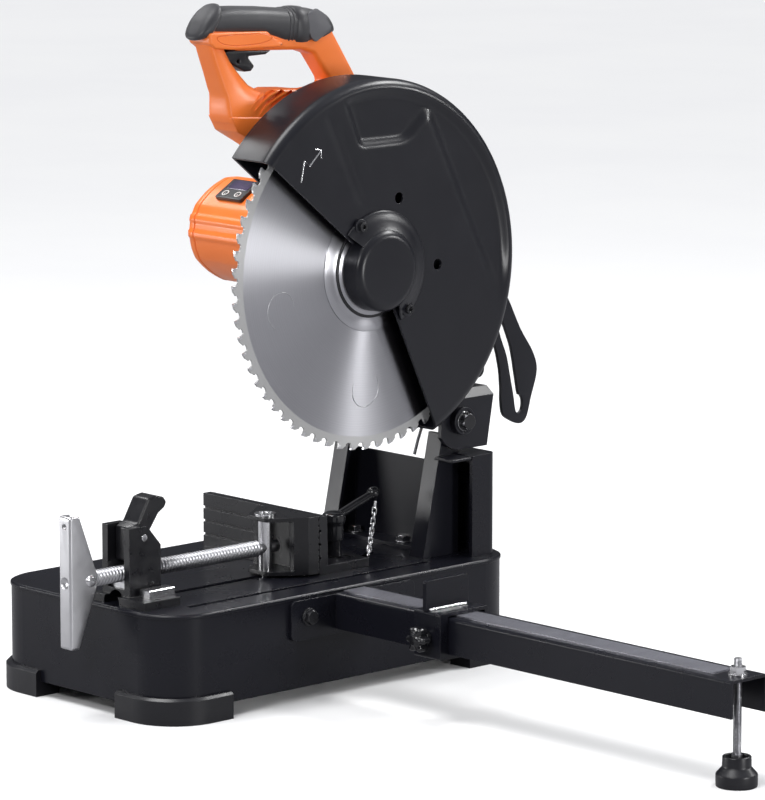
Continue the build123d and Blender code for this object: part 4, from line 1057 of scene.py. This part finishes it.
def lock_handle():
    """Clamping lever: a turned hub, a bent bar and a ball end."""
    x, y = 50, 55
    profile = [(114.6, 0.01), (114.6, 7.5), (131, 7.5), (131, 9.5), (146, 9.5), (150, 11.5), (157, 11.5),
               (159, 8), (159, 0.01)]
    hub = lathe(soft(profile, 1.2), "Z", (x, y), 40)
    post = stud("Z", (x, y), 95.5, 114.7, 3.9, 24)
    bar = wire([(x, y + 2, 153.5), (x, y + 12, 157), (x, y + 30, 163.2), (x, y + 52, 170.3)], 4.2, 16)
    return joined(hub, post, bar, sphere("Y", (x, 171), y + 52.8, 6.6, 24))


make("lock_handle", lock_handle(), "fence_lever", "black_oxide", ["lock_lever"], 40, GLOSS)


def chain():
    """Welded-link chain, which hangs in a shallow curve."""
    start, end, sag = Vector((57, 104, 163)), Vector((73.5, 79, 116)), Vector((0, 0, -3.0))
    count = 11

    def hung(t):
        return start.lerp(end, t) + sag * (4 * t * (1 - t))

    parts = []
    for i in range(count):
        a, b = hung(i / count), hung((i + 1) / count)
        way = (b - a).normalized()
        middle = (a + b) / 2
        side = way.cross(Vector((0.3, 1, 0.2))).normalized()
        across = way.cross(side) if i % 2 else side
        half = (b - a).length * 0.5 + 1.3
        points = []
        for k in range(20):
            angle = 2 * pi * k / 20
            shift = max(-1, min(1, 1.6 * cos(angle)))
            points.append(middle + way * half * shift * 0.98 + across * 2.1 * sin(angle))
        parts.append(wire(points, 0.65, 6, loop=True))
    return joined(*parts)


make("chain_links", chain(), "fence", "zinc_steel", ["lock_chain"], 60)


def hexagon(u, v, radius, turn):
    return [polar(u, v, radius, turn + 60 * i) for i in range(6)]


def hex_bolt(axis, u, v, seat, radius=7.5, washer=8.6, height=5.5, turn=0):
    """Hexagon head with a chamfered crown on a flat washer."""
    plain = soft([(seat, 0.01), (seat, washer), (seat + 1.6, washer), (seat + 1.6, 0.01)], 0.4)
    crown = lathe([(seat + 1, 0.01), (seat + 1, radius * 1.1), (seat + height, radius * 1.02),
                   (seat + 1.6 + height, radius * 0.84), (seat + 1.6 + height, 0.01)], axis, (u, v), 48)
    head = shown("hex_head", slab([hexagon(u, v, radius, turn)], seat + 1.2, seat + 1.6 + height, 0.0, axis))
    tool = shown("crown", crown)
    boolean = head.modifiers.new("crown", "BOOLEAN")
    boolean.operation = "INTERSECT"
    boolean.object = tool
    boolean.solver = "EXACT"
    applied(head)
    bpy.data.objects.remove(tool)
    bm = bmesh.new()
    bm.from_mesh(head.data)
    bpy.data.objects.remove(head)
    return joined(bm, lathe(plain, axis, (u, v), 40))


def pivot_ring():
    """Dished collar that the hinge pin's head sits in."""
    profile = [(95.2, 0.01), (95.2, 14), (102.6, 14), (102.6, 11), (101.2, 11), (101.2, 0.01)]
    return lathe(soft(profile, 0.9), "X", PIVOT)


make("stand_bolts", joined(*[hex_bolt("Z", x, 172, 109.4, turn=12) for x in (-46, 26)]),
     "base", "zinc_steel", ["hex_bolts"])
make("side_bolts", joined(*[hex_bolt("X", y, 84, 136.5, turn=20) for y in (-57.7, 40)]),
     "base", "black_oxide")
make("pivot_head", hex_bolt("X", *PIVOT, 101, 8.7, 9.8, 6.6, 8), "head", "zinc_steel")
make("pivot_ring", pivot_ring(), "head", "stand_black")


def lobed_knob():
    """Six-lobed knob with full round edges, on its neck and stud."""
    x, z = 275, 82
    loop = []
    for i in range(96):
        a = 2 * pi * i / 96
        radius = 10.6 + 2.3 * cos(6 * a) - 0.35 * cos(12 * a)
        loop.append((x + radius * cos(a), z + radius * sin(a)))
    dish = soft([(-52.3, 0.01), (-52.3, 4.5), (-50.5, 6.5), (-50.5, 0.01)], 0.6)
    neck = soft([(-39, 0.01), (-39, 8), (-33.3, 6.8), (-33.3, 4), (-22.9, 4), (-22.9, 0.01)], 0.5)
    return joined(slab([loop], -51, -38, 3.4, "Y", 5), lathe(dish, "Y", (x, z), 40),
                  lathe(neck, "Y", (x, z), 40))


make("lobed_knob", lobed_knob(), "stop_knob", "black_plastic", ["star_knob"], 50, GLOSS)


def round_box(half_x, half_y, corner):
    """Rectangle about the origin with true round corners."""
    loop = []
    for sx, sy, start in ((1, 1, 0), (-1, 1, 90), (-1, -1, 180), (1, -1, 270)):
        centre = (sx * (half_x - corner), sy * (half_y - corner))
        loop += [polar(*centre, corner, start + 7.5 * i) for i in range(13)]
    return loop


make("table_lip", slab([round_box(133.5, 231.0, 48), round_box(132.0, 229.5, 46.5)], 101.2, 104.2, 0.5, "Z"),
     "base", "base_black", (), 40)
make("post_plate", block(88.4, 115, 154, 192, 203.6, 206.4, 0.5), "base", "stand_black")


def weld_bead():
    """Rippled fillet weld at the foot of the stop plate."""
    path = [(274.5 + 0.5 * sin(i * 1.9), -30 + i * 2.0, 107.6 + 0.6 * sin(i * 2.7)) for i in range(25)]
    return wire(path, 1.8, 8)


make("weld_bead", weld_bead(), "stop", "zinc_steel", (), 60)


# ---- stage --------------------------------------------------------------------------------
def floor():
    """Pale paper floor; what it throws back on the object is darker, as a floor out of the lights would."""
    bm = bmesh.new()
    bmesh.ops.create_circle(bm, cap_ends=True, segments=64, radius=40)
    obj = shown("floor", bm)
    look = Look("floor_paper", (0.88, 0.88, 0.88), roughness=0.9)
    look.vary((0.86, 0.86, 0.865), 2.0)
    seen = look.add("ShaderNodeLightPath").outputs["Is Camera Ray"]
    look.colour = look.mix(seen, look.rgb((0.30, 0.30, 0.31)), look.colour)
    obj.data.materials.append(look.done(Specular_IOR_Level=0.1))


def softbox(name, way, distance, size, radiance):
    """Area light that faces the saw from the given direction; radiance keeps its look at any size."""
    middle = Vector((0.10, 0.05, 0.30))
    data = bpy.data.lights.new(name, "AREA")
    data.shape = "RECTANGLE"
    data.size, data.size_y = size
    data.energy = radiance * pi * size[0] * size[1]
    light = bpy.data.objects.new(name, data)
    bpy.context.scene.collection.objects.link(light)
    light.location = middle + Vector(way).normalized() * distance
    light.rotation_euler = (-Vector(way)).to_track_quat("-Z", "Y").to_euler()


def sun(strength, angle, direction):
    data = bpy.data.lights.new("sky", "SUN")
    data.energy = strength
    data.angle = radians(angle)
    light = bpy.data.objects.new("sky", data)
    bpy.context.scene.collection.objects.link(light)
    light.rotation_euler = Vector(direction).to_track_quat("-Z", "Y").to_euler()


def studio():
    """White backdrop for the eye; round the object, a dark horizon under a bright overhead."""
    world = bpy.data.worlds.new("studio")
    bpy.context.scene.world = world
    world.use_nodes = True
    tree = world.node_tree
    seen = tree.nodes["Background"]
    seen.inputs["Color"].default_value = (1, 1, 1, 1)
    seen.inputs["Strength"].default_value = 1.0
    around = tree.nodes.new("ShaderNodeBackground")
    around.inputs["Color"].default_value = (0.93, 0.95, 1.0, 1)
    place = tree.nodes.new("ShaderNodeTexCoord")
    split = tree.nodes.new("ShaderNodeSeparateXYZ")
    tree.links.new(place.outputs["Generated"], split.inputs["Vector"])
    height = tree.nodes.new("ShaderNodeMapRange")
    height.interpolation_type = "SMOOTHSTEP"
    for key, value in (("From Min", 0.1), ("From Max", 0.95), ("To Min", 0.05), ("To Max", 0.5)):
        height.inputs[key].default_value = value
    tree.links.new(split.outputs["Z"], height.inputs["Value"])
    tree.links.new(height.outputs["Result"], around.inputs["Strength"])
    path = tree.nodes.new("ShaderNodeLightPath")
    choice = tree.nodes.new("ShaderNodeMixShader")
    tree.links.new(path.outputs["Is Camera Ray"], choice.inputs["Fac"])
    tree.links.new(around.outputs[0], choice.inputs[1])
    tree.links.new(seen.outputs[0], choice.inputs[2])
    tree.links.new(choice.outputs[0], tree.nodes["World Output"].inputs["Surface"])
    sun(2.2, 30, (0.15, 0.30, -1))
    softbox("rim_left", (-0.72, -0.10, 0.68), 2.2, (0.9, 0.3), 10)
    softbox("rim_right", (0.20, 0.67, 0.72), 2.2, (0.9, 0.4), 22)
    softbox("key", (0.35, -0.80, 0.42), 2.6, (0.6, 0.4), 26)
    softbox("left", (-0.72, -0.70, 0.0), 2.4, (1.0, 0.3), 15)
    softbox("fan_upper", (1.0, 0.07, 0.04), 2.4, (0.22, 0.50), 44)
    softbox("fan_lower", (0.60, 0.74, 0.31), 2.4, (0.16, 0.20), 110)


def camera():
    """The long-lens view: azimuth and height of the camera about the point it looks at."""
    azimuth, height, distance = radians(46.83), radians(9.77), 4.9448
    target = Vector((0.0505, 0.1199, 0.2629))
    way = Vector((sin(azimuth) * cos(height), -cos(azimuth) * cos(height), sin(height)))
    data = bpy.data.cameras.new("camera")
    data.lens, data.sensor_width = 225.08, 36.0
    data.clip_end = 100.0
    obj = bpy.data.objects.new("camera", data)
    bpy.context.scene.collection.objects.link(obj)
    obj.location = target + way * distance
    obj.rotation_euler = (-way).to_track_quat("-Z", "Y").to_euler()
    bpy.context.scene.camera = obj


floor()
studio()
camera()
bpy.context.scene.view_settings.view_transform = "Standard"
